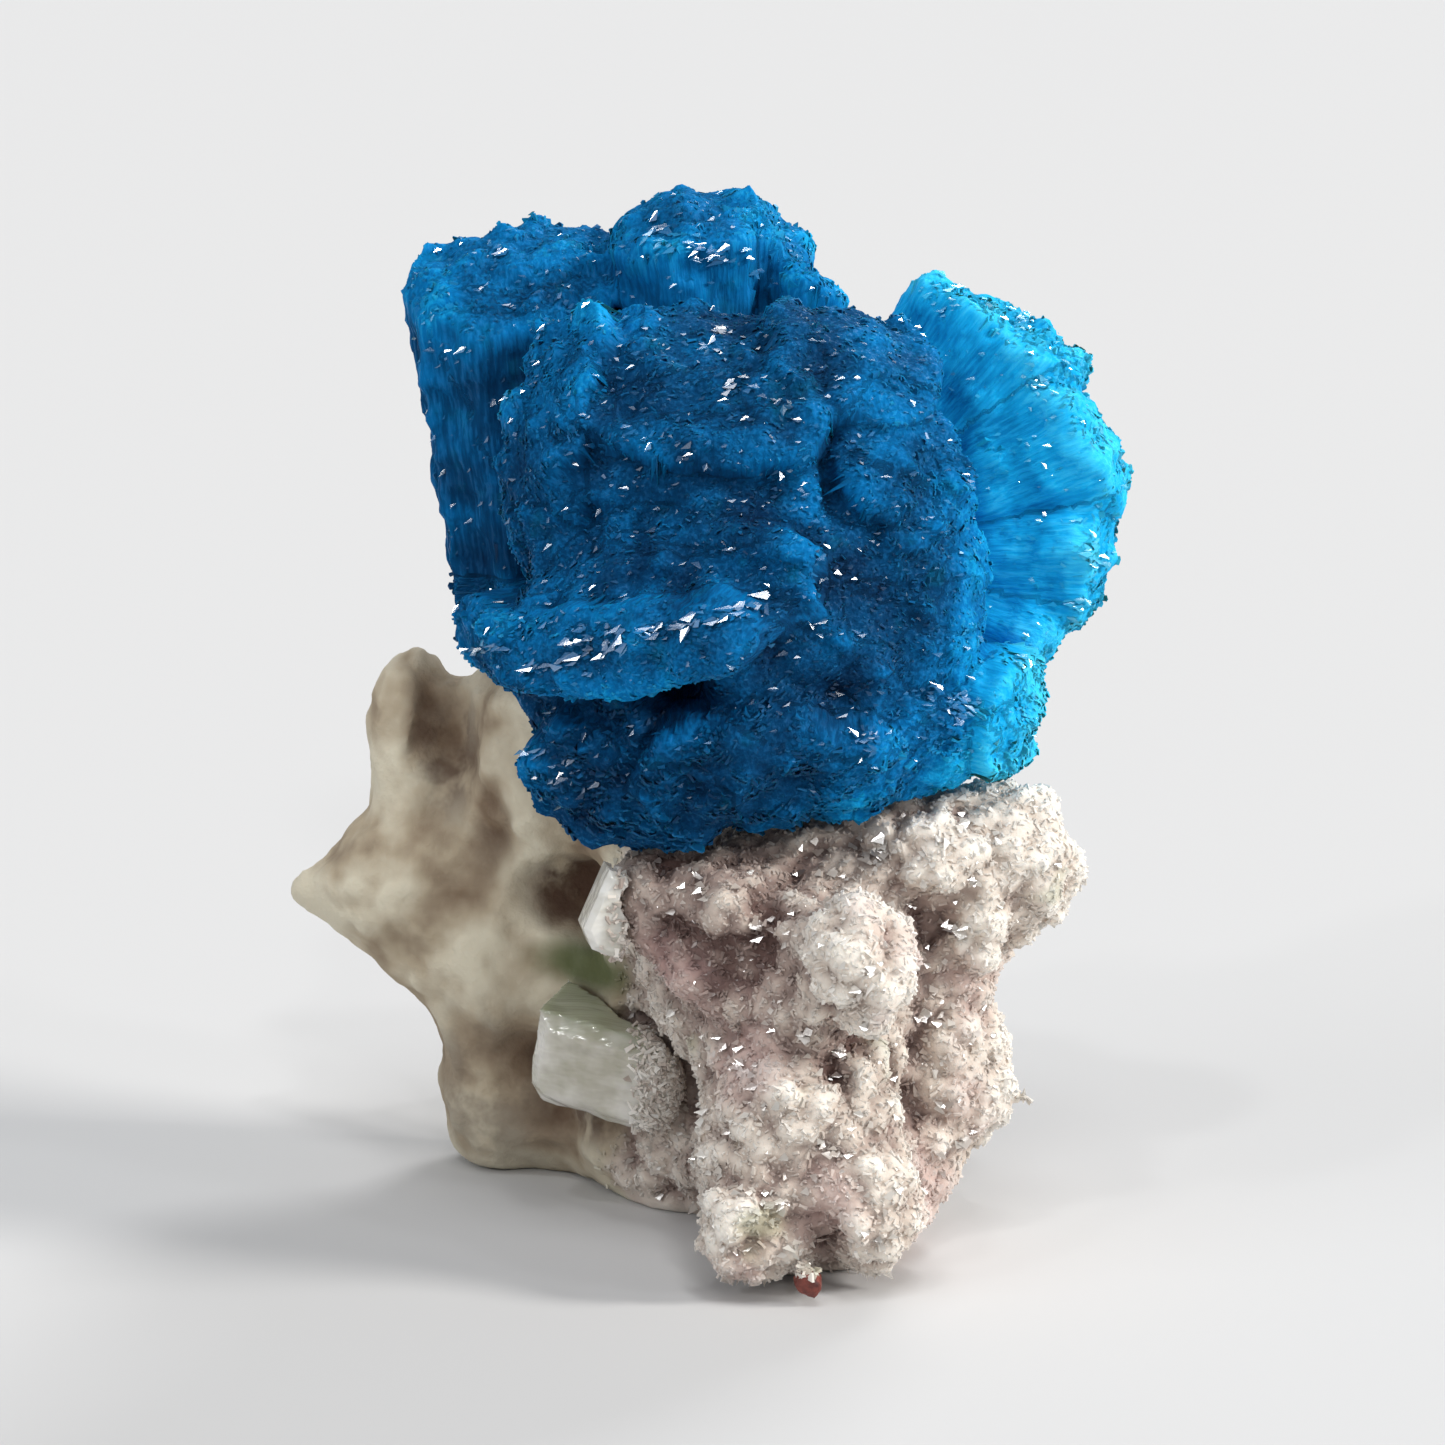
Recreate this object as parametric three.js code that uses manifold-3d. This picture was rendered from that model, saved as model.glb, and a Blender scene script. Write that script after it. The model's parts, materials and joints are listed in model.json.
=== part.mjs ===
// A cavansite crystal cluster: a blue rosette of bladed crystals on a loose piece of pale zeolite matrix.
//
// Millimetres, +Z up. X runs to the right and Y away from the side that the rosette is best seen from.
// The origin lies under the middle of the specimen, on the surface that it stands on.

import * as THREE from "three";
import { mergeVertices } from "three/addons/utils/BufferGeometryUtils.js";
import Module from "manifold-3d";

const wasm = await Module();
wasm.setup();

// Driving dimensions

const CONTACT_GAP = 0.12; // between a small crystal and what it touches
const ROSETTE_GAP = 0.2; // between the rosette and the stone, which touch over a wide, uneven place
const TOOTH_WIDTH = 0.88; // one blade's tip, along its fan's long side
const TOOTH_DEPTH = 0.66; // one blade's tip, along its fan's short side
const TOOTH_HEIGHT = 0.42; // the most that a blade's tip stands out of its fan
const LEAST_TOOTH = 0.25; // the least that it does, as a share of the most
const BRICK = 0.28; // how far each row of blades is moved along, one way and the other, as a share of a blade
const STRAY = 0.15; // how far a blade strays from its place in the row, as a share of a blade
const RIM_FLARE = 0.09; // how far every other blade on the rim stands out sideways, as a share of the cap
const RIM_STRAY = 0.07; // how far each of them strays from that
const CAP_ROUGHNESS = 0.16; // how far the blades' feet on the cap stand up or fall back
const CAP_DOME = 0.35; // how far the cap's long sides fall back, as a share of its thickness
const CORNER_PULL = 0.42; // how round the corners of a cap are
const RIB = 0.12; // how far the ribs on a fan's sides stand out, as a share of its size
const ROOT_SIZE = 0.42; // a fan at its root, as a share of its size at the cap
const DRUSE_FACET = 0.65; // one flat face of the matrix, across
const BLEND = 0.15; // how softly two lumps of the matrix run together
const KNOB_HEIGHT = 0.18; // how far the small knobs stand out of the matrix
const CRYSTAL_HEIGHT = 0.13; // how far single crystals stand out of the knobs
const FINEST_DETAIL = 0.025; // smaller features, left by a join, are smoothed away
const CLOSEST_CORNERS = 0.001; // closer corners are one

// The middle of the specimen, seen from above, in the numbers of the tables below. The origin is put there.

const MIDDLE = { x: -0.02, y: 0.55 };

const v3 = (p) => new THREE.Vector3(...p);

// A repeatable number from 0 to 1 for each whole or broken seed.
function chance(seed) {
  const wave = Math.sin(seed * 12.9898 + 4.1414) * 43758.5453;
  return wave - Math.floor(wave);
}

// A repeatable number from -1 to 1.
const shake = (seed) => 2 * chance(seed) - 1;

// A closed geometry as a solid that can be joined and cut.
function solidOf(geometry) {
  const bare = geometry.index ? geometry.toNonIndexed() : geometry.clone();
  bare.deleteAttribute("normal");
  bare.deleteAttribute("uv");
  const merged = mergeVertices(bare, CLOSEST_CORNERS);
  return new wasm.Manifold(
    new wasm.Mesh({
      numProp: 3,
      vertProperties: merged.attributes.position.array,
      triVerts: new Uint32Array(merged.index.array),
    }),
  );
}

const joined = (solids) => solids.reduce((whole, next) => whole.add(next));

// The biggest body of a solid, because a cut can leave crumbs.
function biggestBody(solid) {
  const bodies = solid.decompose();
  return bodies.reduce((big, next) => (next.volume() > big.volume() ? next : big));
}

// A solid as the corners and faces of its skin.
function geometryOf(solid) {
  const mesh = solid.getMesh();
  const positions = new Float32Array(mesh.numVert * 3);
  for (let i = 0; i < mesh.numVert; i++) {
    const start = i * mesh.numProp;
    positions.set(mesh.vertProperties.subarray(start, start + 3), i * 3);
  }
  return new THREE.BufferGeometry()
    .setAttribute("position", new THREE.BufferAttribute(positions, 3))
    .setIndex(new THREE.BufferAttribute(new Uint32Array(mesh.triVerts), 1));
}

// Where two parts of a skin touch along an edge, each one's corners are drawn in, so that they come apart.
function parted(geometry) {
  geometry.computeVertexNormals();
  const { position, normal } = geometry.attributes;
  const cornerOf = (i) => new THREE.Vector3().fromBufferAttribute(position, i);
  const nameOf = (i) => cornerOf(i).divideScalar(CLOSEST_CORNERS).round().toArray().join();
  const names = Array.from({ length: position.count }, (_, i) => nameOf(i));
  const uses = new Map();
  names.forEach((name) => uses.set(name, (uses.get(name) ?? 0) + 1));
  names.forEach((name, i) => {
    if (uses.get(name) < 2) return;
    const inward = new THREE.Vector3().fromBufferAttribute(normal, i).multiplyScalar(-FINEST_DETAIL);
    position.setXYZ(i, ...cornerOf(i).add(inward));
  });
  return geometry;
}

// A finished solid: one body with no crumbs, closed hollows or slivers.
function finished(solid) {
  const body = biggestBody(solid.asOriginal().simplify(FINEST_DETAIL));
  return biggestBody(solidOf(parted(geometryOf(body))));
}

// A square's corners drawn in, so that a fan's cap is a rounded oblong.
function rounded(u, v) {
  return [u * Math.sqrt(1 - CORNER_PULL * v * v), v * Math.sqrt(1 - CORNER_PULL * u * u)];
}

// A fan of blades: narrow at its root, flared at its cap, ribbed along its sides, a pointed tip on each blade.
// root and tip are the middles of its two ends, half runs from the tip to one end of the cap's long side, and
// thick is half the cap's short side. bow is how far the ends of the cap fall back, and lean how much further
// one of its long sides stands out than the other.
function fan({ root, tip, half, thick, bow = 0.4, lean = 0, rootSize = ROOT_SIZE }, seed) {
  const from = v3(root);
  const to = v3(tip);
  const wide = v3(half);
  const along = to.clone().sub(from).normalize();
  const thin = along.clone().cross(wide).normalize().multiplyScalar(thick);
  const across = Math.max(3, Math.round((2 * wide.length()) / TOOTH_WIDTH));
  const deep = Math.max(2, Math.round((2 * thick) / TOOTH_DEPTH));
  const points = [];
  const faces = [];
  const put = (p) => points.push(p) - 1;
  const place = (u, v, size, t) =>
    from.clone().lerp(to, t).addScaledVector(wide, u * size).addScaledVector(thin, v * size);

  // the cap's grid, one cell for each blade: laid like bricks, and every other blade on the rim stands out
  const grid = [];
  for (let j = 0; j <= deep; j++) {
    for (let i = 0; i <= across; i++) {
      const onRim = i === 0 || j === 0 || i === across || j === deep;
      const brick = onRim ? 0 : (j % 2 ? BRICK : -BRICK) + STRAY * shake(seed + 4.7 * i + 1.9 * j);
      const [u, v] = rounded((2 * (i + brick)) / across - 1, (2 * j) / deep - 1);
      const fallBack = bow * u * u + CAP_DOME * thick * v * v - lean * v;
      const flare = 1 + (onRim ? RIM_FLARE * ((i + j) % 2) + RIM_STRAY * shake(seed + 2.1 * i + 6.7 * j) : 0);
      const rough = CAP_ROUGHNESS * shake(seed + 7.3 * i + 3.1 * j);
      grid.push(put(place(u, v, flare, 1).addScaledVector(along, rough - fallBack)));
    }
  }
  const cell = (i, j) => grid[j * (across + 1) + i];
  for (let j = 0; j < deep; j++) {
    for (let i = 0; i < across; i++) {
      const corners = [cell(i, j), cell(i + 1, j), cell(i + 1, j + 1), cell(i, j + 1)];
      // the tip stands nearer to one corner of its cell than to the others
      const weights = corners.map((c, k) => 0.25 + chance(seed + i * 5.7 + j * 9.1 + k) ** 2);
      const total = weights.reduce((sum, w) => sum + w);
      const apex = new THREE.Vector3();
      corners.forEach((c, k) => apex.addScaledVector(points[c], weights[k] / total));
      const outward = apex.clone().sub(from).normalize();
      const height = TOOTH_HEIGHT * THREE.MathUtils.lerp(LEAST_TOOTH, 1, chance(seed + 11.9 * i + 2.3 * j));
      const peak = put(apex.addScaledVector(outward, height));
      corners.forEach((c, k) => faces.push([c, corners[(k + 1) % 4], peak]));
    }
  }

  // the cap's rim, in order, and the ribbed sides that narrow from it to the root
  const rim = [];
  for (let i = 0; i < across; i++) rim.push([i, 0]);
  for (let j = 0; j < deep; j++) rim.push([across, j]);
  for (let i = across; i > 0; i--) rim.push([i, deep]);
  for (let j = deep; j > 0; j--) rim.push([0, j]);
  const foot = rim.map(([i, j], k) => {
    const [u, v] = rounded((2 * i) / across - 1, (2 * j) / deep - 1);
    return put(place(u, v, rootSize * (1 + RIB * ((k % 2 ? 0.5 : -0.5) + shake(seed + 2.3 * k))), 0));
  });
  const heel = put(from.clone());
  rim.forEach(([i, j], k) => {
    const l = (k + 1) % rim.length;
    const upper = cell(i, j);
    faces.push([upper, foot[k], foot[l]], [upper, foot[l], cell(...rim[l])], [foot[k], heel, foot[l]]);
  });

  const geometry = new THREE.BufferGeometry().setFromPoints(points);
  geometry.setIndex(faces.flat());
  return solidOf(geometry);
}

// The skin of everything that a field calls inside, as a solid. field gives how far a point is outside, in
// millimetres. A cube around the middle is searched, in cells as wide as step. It is turned so that no face
// of the skin lines up with an axis. roughness gives how far a corner of the skin strays from its place.
function skinOf(field, middle, reach, step, roughness) {
  const turn = new THREE.Euler(0.5, 0.35, 0.6);
  const count = Math.ceil((2 * reach) / step) + 1;
  const stride = [1, count, count * count];
  const spot = (i, j, k) =>
    new THREE.Vector3(i, j, k).multiplyScalar(step).subScalar(reach).applyEuler(turn).add(v3(middle));
  const values = new Float32Array(count ** 3);
  const everyCell = (visit) => {
    for (let k = 0; k < count - 1; k++) {
      for (let j = 0; j < count - 1; j++) {
        for (let i = 0; i < count - 1; i++) visit(i, j, k, i + j * stride[1] + k * stride[2]);
      }
    }
  };
  everyCell((i, j, k, here) => (values[here] = field(spot(i, j, k))));

  // one point in each cell that the skin passes through: the middle of where it meets the cell's edges
  const points = [];
  const pointIn = new Map();
  everyCell((i, j, k, here) => {
    const meet = new THREE.Vector3();
    let meetings = 0;
    for (let axis = 0; axis < 3; axis++) {
      const [b, c] = [(axis + 1) % 3, (axis + 2) % 3];
      for (const side of [0, 1, 2, 3]) {
        const start = [0, 0, 0];
        start[b] = side & 1;
        start[c] = side >> 1;
        const from = here + start[0] + start[1] * stride[1] + start[2] * stride[2];
        const [v0, v1] = [values[from], values[from + stride[axis]]];
        if (v0 < 0 === v1 < 0) continue;
        start[axis] = v0 / (v0 - v1);
        meet.add(spot(i + start[0], j + start[1], k + start[2]));
        meetings += 1;
      }
    }
    if (!meetings) return;
    const place = meet.divideScalar(meetings);
    const stray = new THREE.Vector3(shake(here), shake(here + 0.3), shake(here + 0.7));
    pointIn.set(here, points.push(place.addScaledVector(stray, roughness(place))) - 1);
  });

  // one four-sided face around each edge of the grid that the skin meets
  const faces = [];
  everyCell((i, j, k, here) => {
    for (let axis = 0; axis < 3; axis++) {
      const [b, c] = [stride[(axis + 1) % 3], stride[(axis + 2) % 3]];
      const [v0, v1] = [values[here], values[here + stride[axis]]];
      if (v0 < 0 === v1 < 0) continue;
      const around = [here, here - b, here - b - c, here - c].map((cell) => pointIn.get(cell));
      const [p, q, r, s] = v0 < 0 ? around : around.reverse();
      faces.push(p, q, r, p, r, s);
    }
  });
  const geometry = new THREE.BufferGeometry().setFromPoints(points);
  geometry.setIndex(faces);
  return solidOf(geometry);
}

// The matrix: lumps of druse that ran together. at is a lump's middle, size its half width, depth and height.

const LUMPS = [
  // the body under the rosette
  { at: [1.6, -0.4, 5.8], size: [2.9, 2.9, 3.4] },
  { at: [0.8, 2.6, 6.2], size: [3.6, 3.0, 4.2] },
  { at: [-1.5, 3.7, 7.2], size: [2.4, 2.1, 2.6] },
  { at: [4.2, 0.6, 6.2], size: [1.9, 2.0, 2.6] },
  { at: [3.4, 1.6, 3.4], size: [1.8, 2.0, 2.2] },
  { at: [-2.2, 4.2, 4.4], size: [2.0, 1.9, 2.2] },
  // the right shoulder and the lobes below it
  { at: [5.8, -0.7, 8.0], size: [1.6, 1.6, 1.65] },
  { at: [6.6, -0.8, 7.4], size: [1.0, 1.0, 1.15] },
  { at: [4.2, -1.2, 8.2], size: [1.7, 1.7, 1.4] },
  { at: [5.2, -1.2, 6.2], size: [0.9, 0.9, 0.8] },
  { at: [4.8, -0.5, 3.6], size: [1.4, 1.5, 2.1] },
  { at: [5.9, -0.6, 2.9], size: [0.7, 0.7, 0.5] },
  { at: [4.4, -1.0, 1.6], size: [0.8, 1.2, 0.9] },
  // the knob in the middle and the small lumps left of it
  { at: [2.8, -4.4, 6.75], size: [1.3, 1.3, 1.55] },
  { at: [-0.9, -2.1, 7.5], size: [1.3, 1.2, 1.1] },
  { at: [0.6, -3.1, 7.5], size: [1.1, 0.9, 1.0] },
  { at: [-0.3, -2.9, 6.3], size: [0.9, 0.8, 0.9] },
  { at: [1.2, -3.4, 5.8], size: [1.0, 0.9, 1.1] },
  // the lobe at the front foot, with its two mounds
  { at: [1.8, -3.2, 3.2], size: [2.1, 2.0, 2.1] },
  { at: [0.9, -4.5, 1.4], size: [1.3, 1.2, 1.3] },
  { at: [3.1, -4.3, 1.8], size: [1.3, 1.2, 1.6] },
  { at: [2.2, -1.0, 1.4], size: [2.6, 3.2, 2.0] },
  { at: [0.4, 2.6, 1.7], size: [3.3, 2.5, 2.6] },
  // the cream mass at the back left, which runs out to a blunt point
  { at: [-6.0, 5.2, 5.9], size: [2.1, 1.9, 1.9] },
  { at: [-7.6, 5.3, 5.8], size: [1.4, 0.9, 0.8] },
  { at: [-6.2, 5.3, 9.0], size: [1.05, 1.4, 2.3] },
  { at: [-4.2, 4.8, 8.3], size: [1.5, 1.5, 2.6] },
  { at: [-3.3, 3.6, 9.0], size: [1.5, 1.7, 2.5] },
  { at: [-4.3, 4.6, 4.6], size: [1.9, 1.9, 2.5] },
  { at: [-4.4, 4.7, 1.6], size: [1.4, 1.6, 1.9] },
  { at: [-2.4, 4.2, 1.4], size: [1.8, 1.5, 1.7] },
];

// the smooth hollow in the cream mass, and the deep one between the two halves of the matrix
const HOLLOWS = [
  { at: [-5.5, 3.5, 9.6], size: [0.6, 1.1, 1.25] },
  { at: [-2.7, 1.3, 6.3], size: [0.9, 1.9, 1.3] },
];

// the cube that holds all the lumps, however it is turned
const SEARCH = { middle: [-0.6, 0.7, 5], reach: 13 };

// How far a point is outside one lump.
function outsideLump(p, { at, size }) {
  const share = p.clone().sub(v3(at)).divide(v3(size));
  const near = share.length();
  return (near * (near - 1)) / Math.max(share.divide(v3(size)).length(), 1e-6);
}

// The druse's share at a place: the mass at the back left is smoother.
const druse = (p) => 0.3 + 0.7 * THREE.MathUtils.smoothstep(p.x, -4, -1);

// The knobs of the druse, two or three millimetres from one to the next: -1 in a hollow, 1 on a knob.
const knobs = (p) =>
  Math.sin(3.1 * p.x + 1.3 * p.z) * Math.sin(3.4 * p.y + 0.7 * p.x) * Math.sin(3.2 * p.z - p.y);

// The lumps run together where they meet, and the matrix grown by a distance follows them at that distance.
function matrixOf(grow) {
  const field = (p) => {
    const closeness = LUMPS.reduce((sum, form) => sum + Math.exp(-outsideLump(p, form) / BLEND), 0);
    const outside = -BLEND * Math.log(closeness) - KNOB_HEIGHT * druse(p) * knobs(p);
    const inHollows = HOLLOWS.map((form) => -outsideLump(p, form));
    return Math.max(outside, ...inHollows) - grow;
  };
  return skinOf(field, SEARCH.middle, SEARCH.reach, DRUSE_FACET, (p) => CRYSTAL_HEIGHT * druse(p));
}

const grownMatrix = matrixOf(CONTACT_GAP);

// the specimen is trimmed flat where it stands, by taking away all that lies below
const TRIM_DEPTH = 10;
const trim = new THREE.BoxGeometry(4 * TRIM_DEPTH, 4 * TRIM_DEPTH, TRIM_DEPTH).translate(0, 0, -TRIM_DEPTH / 2);
const matrix = finished(matrixOf(0).subtract(solidOf(trim)));

// The rosette: fans of blades from one heart

const FANS = {
  // the tall fans behind
  leftBack: {
    root: [-3.15, 3.1, 11.8], tip: [-3.95, 2.4, 19.6], half: [-2.05, -0.2, -0.35],
    thick: 1.5, bow: 0.3, lean: -0.7, rootSize: 0.9,
  },
  crown: {
    root: [0.2, 2.0, 12.6], tip: [-0.5, 2.4, 20.7], half: [-1.5, 0, -0.3],
    thick: 1.5, bow: 0.5, lean: -0.4,
  },
  crownRight: {
    root: [0.6, 2.0, 12.6], tip: [1.2, 2.8, 20.5], half: [1.0, 0, -0.4],
    thick: 1.1, bow: 0.3, lean: 0.3,
  },
  crownLobe: { root: [1.1, 2.0, 12.6], tip: [2.1, 2.0, 19.3], half: [0.7, 0, -0.4], thick: 0.9, bow: 0.2 },
  behindCrown: { root: [-0.6, 2.6, 12.6], tip: [-2.1, 3.6, 19.3], half: [-1.4, 0.5, 0.1], thick: 1.2 },
  // the fans on the left and over the middle
  leftMiddle: {
    root: [-0.6, 0.8, 14.2], tip: [-3.4, -1.9, 16.9], half: [0.4, 0.5, 2.8],
    thick: 1.1, bow: 1.2, rootSize: 0.8,
  },
  leftInner: { root: [-0.4, 1.6, 13.2], tip: [-3.5, 0.5, 15.8], half: [0.2, 1.1, 2.1], thick: 1.1, bow: 0.6 },
  leftUpper: {
    root: [-0.8, 1.2, 13.8], tip: [-2.5, -0.7, 18.3], half: [-1.3, 0.1, -0.8],
    thick: 1.4, bow: 0.3, rootSize: 0.9,
  },
  upperMiddle: {
    root: [0.0, 1.0, 14.2], tip: [-0.5, -1.6, 18.2], half: [-2.6, 0, -0.2],
    thick: 1.9, bow: 0.4, rootSize: 0.9,
  },
  centreTop: {
    root: [0.4, 0.0, 14.6], tip: [0.3, -2.9, 17.3], half: [-2.0, 0.3, -0.1],
    thick: 1.0, bow: 0.5, rootSize: 0.9,
  },
  upperRight: {
    root: [1.4, 0.8, 14.4], tip: [3.0, -1.2, 18.4], half: [1.7, 0.3, -0.5],
    thick: 1.8, bow: 0.3, rootSize: 0.9,
  },
  // the great fan on the right, in four leaves
  rightFirst: { root: [1.9, 1.6, 13.5], tip: [6.2, 1.9, 18.5], half: [1.7, 0, -1.0], thick: 1.2, bow: 0.4 },
  rightSecond: { root: [1.9, 1.6, 13.5], tip: [7.9, 1.5, 16.3], half: [0.8, 0, -1.5], thick: 1.3, bow: 0.4 },
  rightThird: { root: [1.9, 1.6, 13.5], tip: [8.0, 1.3, 13.7], half: [-0.1, 0, -1.4], thick: 1.3, bow: 0.4 },
  rightFourth: { root: [1.9, 1.6, 13.5], tip: [6.9, 1.2, 11.7], half: [-0.8, 0, -1.2], thick: 1.3, bow: 0.4 },
  rightBehind: { root: [1.8, 2.0, 13.4], tip: [6.0, 3.6, 16.2], half: [0.9, 0.3, -1.8], thick: 1.1, bow: 0.6 },
  // the smaller fans in front of it
  innerFirst: {
    root: [2.2, 0.6, 14.2], tip: [3.9, -2.3, 16.4], half: [1.3, 0.3, -0.6],
    thick: 1.4, bow: 0.3, rootSize: 0.9,
  },
  innerSecond: {
    root: [1.8, 0.8, 13.8], tip: [4.8, -2.1, 14.6], half: [0.4, 0.2, -1.6],
    thick: 1.3, bow: 0.3, rootSize: 0.8,
  },
  innerThird: {
    root: [1.8, 0.8, 13.4], tip: [5.0, -2.2, 12.7], half: [0.1, 0.1, -1.3],
    thick: 1.2, bow: 0.3, rootSize: 0.8,
  },
  lowerRight: { root: [1.8, 0.6, 12.1], tip: [6.4, -1.5, 10.8], half: [-0.3, 0.1, -1.2], thick: 1.4, bow: 0.4 },
  // the heart's face, full of blade tips seen end on
  frontLeft: {
    root: [0.2, 0.4, 14.4], tip: [-0.1, -2.9, 15.8], half: [-2.2, 0.3, 0.1],
    thick: 1.3, bow: 0.3, rootSize: 0.9,
  },
  frontSlope: {
    root: [0.6, 0.8, 12.2], tip: [-0.9, -3.6, 14.1], half: [-2.8, 1.1, -0.4],
    thick: 1.3, bow: 0.4, rootSize: 0.9,
  },
  frontRight: {
    root: [1.8, 0.6, 13.6], tip: [2.7, -3.0, 14.6], half: [1.9, 0.5, -0.2],
    thick: 1.7, bow: 0.4, rootSize: 0.9,
  },
  frontLow: {
    root: [1.6, 0.6, 12.8], tip: [2.4, -3.5, 12.3], half: [2.2, 0.7, -0.4],
    thick: 1.6, bow: 0.5, rootSize: 0.9,
  },
  // the ledge that juts out to the left, and the skirt below it
  ledge: {
    root: [1.4, 0.4, 13.9], tip: [-1.9, -4.6, 12.8], half: [-2.8, 1.6, -0.4],
    thick: 0.8, bow: 0.4, lean: 0.3,
  },
  ledgeTip: { root: [0.4, 0.8, 12.9], tip: [-4.5, -2.1, 12.5], half: [-0.7, 1.4, 0.1], thick: 0.8, bow: 0.25 },
  leftNotch: {
    root: [0.2, 0.6, 12.2], tip: [-2.7, -2.8, 11.1], half: [-1.2, 1.1, 0.1],
    thick: 1.1, bow: 0.2, rootSize: 0.9,
  },
  bottomLeft: {
    root: [0.2, 0.6, 12.0], tip: [-1.8, -3.5, 9.65], half: [-2.0, 0.3, 0.5],
    thick: 1.3, bow: 0.3, lean: 0.2, rootSize: 0.8,
  },
  bottomMiddle: {
    root: [1.2, 0.6, 12.2], tip: [1.2, -3.7, 9.9], half: [2.5, 0.4, 0.2],
    thick: 1.5, bow: 0.3, lean: 0.2, rootSize: 0.8,
  },
  bottomRight: { root: [1.4, 0.6, 12.5], tip: [4.2, -2.6, 10.0], half: [1.6, 0.8, 0.4], thick: 1.2, bow: 0.3 },
  // the back, which the picture doesn't show
  backLeft: { root: [0.2, 1.8, 12.8], tip: [-4.2, 5.2, 14.6], half: [-0.8, -1.1, 1.6], thick: 1.4 },
  backHigh: { root: [1.0, 2.0, 13.4], tip: [1.2, 6.2, 17.2], half: [2.4, 0.2, -0.3], thick: 1.5 },
  backLow: { root: [1.0, 2.0, 13.0], tip: [0.6, 6.8, 13.2], half: [-2.6, -0.4, 0.3], thick: 1.7 },
  backRight: { root: [1.6, 2.0, 13.2], tip: [5.2, 5.2, 14.6], half: [-0.8, 0.9, 1.9], thick: 1.4 },
  backUnder: { root: [1.8, 1.6, 12.4], tip: [3.6, 5.0, 10.6], half: [2.0, -1.3, 0.6], thick: 1.3 },
};

// the heart: two balls that the fans' roots lie in
const ball = ([x, y, z], [width, depth, height]) =>
  solidOf(new THREE.IcosahedronGeometry(1, 2).scale(width, depth, height).translate(x, y, z));
const heart = [ball([1.3, 1.2, 13.6], [4.0, 3.9, 4.0]), ball([-1.0, 2.4, 11.8], [2.2, 2.0, 2.4])];

const fans = Object.values(FANS).map((form, i) => fan(form, 50 + 17 * i));
const grownTogether = joined([...heart, ...fans]);
const rosette = finished(grownTogether.subtract(matrixOf(ROSETTE_GAP)));

// The small single crystals

const CRYSTAL_BEVEL = 0.12; // the slanting faces around a crystal's two broad ones, as a share of its depth

// A single crystal: a block with cut corners, so that it has flat faces and a slanting end.
// size is its length, depth and height, cut the share that its corners lose, and turn its angles in degrees.
function crystal({ at, size, cut, turn }) {
  const outline = new THREE.Shape();
  const [long, , high] = size;
  const c = cut * high;
  outline.moveTo(-long / 2 + c, -high / 2);
  outline.lineTo(long / 2, -high / 2);
  outline.lineTo(long / 2, high / 2 - c);
  outline.lineTo(long / 2 - c, high / 2);
  outline.lineTo(-long / 2, high / 2);
  outline.lineTo(-long / 2, -high / 2 + c);
  const bevel = CRYSTAL_BEVEL * size[1];
  const geometry = new THREE.ExtrudeGeometry(outline, {
    depth: size[1] - 2 * bevel,
    bevelSize: bevel,
    bevelThickness: bevel,
    bevelOffset: -bevel,
    bevelSegments: 1,
  });
  geometry.translate(0, 0, bevel - size[1] / 2).rotateX(Math.PI / 2);
  const [x, y, z] = turn.map(THREE.MathUtils.degToRad);
  geometry.rotateX(x).rotateY(y).rotateZ(z).translate(...at);
  return solidOf(geometry);
}

const around = grownMatrix.add(grownTogether);
const CRYSTALS = {
  block_crystal: {
    form: { at: [-1.75, 1.3, 3.3], size: [3.2, 2.6, 2.1], cut: 0.14, turn: [10, 11, -20] },
    colour: 0xc9c3b4,
  },
  white_crystal: {
    form: { at: [-1.9, -2.6, 7.3], size: [0.9, 1.0, 1.6], cut: 0.2, turn: [0, 24, 10] },
    colour: 0xe6e4dc,
  },
  red_brown_grain: {
    form: { at: [1.95, -5.2, 0.5], size: [0.6, 0.5, 0.5], cut: 0.3, turn: [20, 25, 10] },
    colour: 0x7d3325,
  },
};

// The finished specimen

function meshOf(name, solid, colour, roughness) {
  const material = new THREE.MeshStandardMaterial({ color: colour, roughness, metalness: 0 });
  const mesh = new THREE.Mesh(geometryOf(solid).translate(-MIDDLE.x, -MIDDLE.y, 0), material);
  mesh.name = name;
  return mesh;
}

const cluster = new THREE.Group();
cluster.add(meshOf("zeolite_matrix", matrix, 0xc8bab2, 0.8));
cluster.add(meshOf("cavansite_rosette", rosette, 0x0a6fb4, 0.45));
for (const [name, { form, colour }] of Object.entries(CRYSTALS)) {
  cluster.add(meshOf(name, finished(crystal(form).subtract(around)), colour, 0.35));
}

export default cluster;
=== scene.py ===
import json
import math

import bpy
import numpy as np
from mathutils import Matrix, Vector

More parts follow.
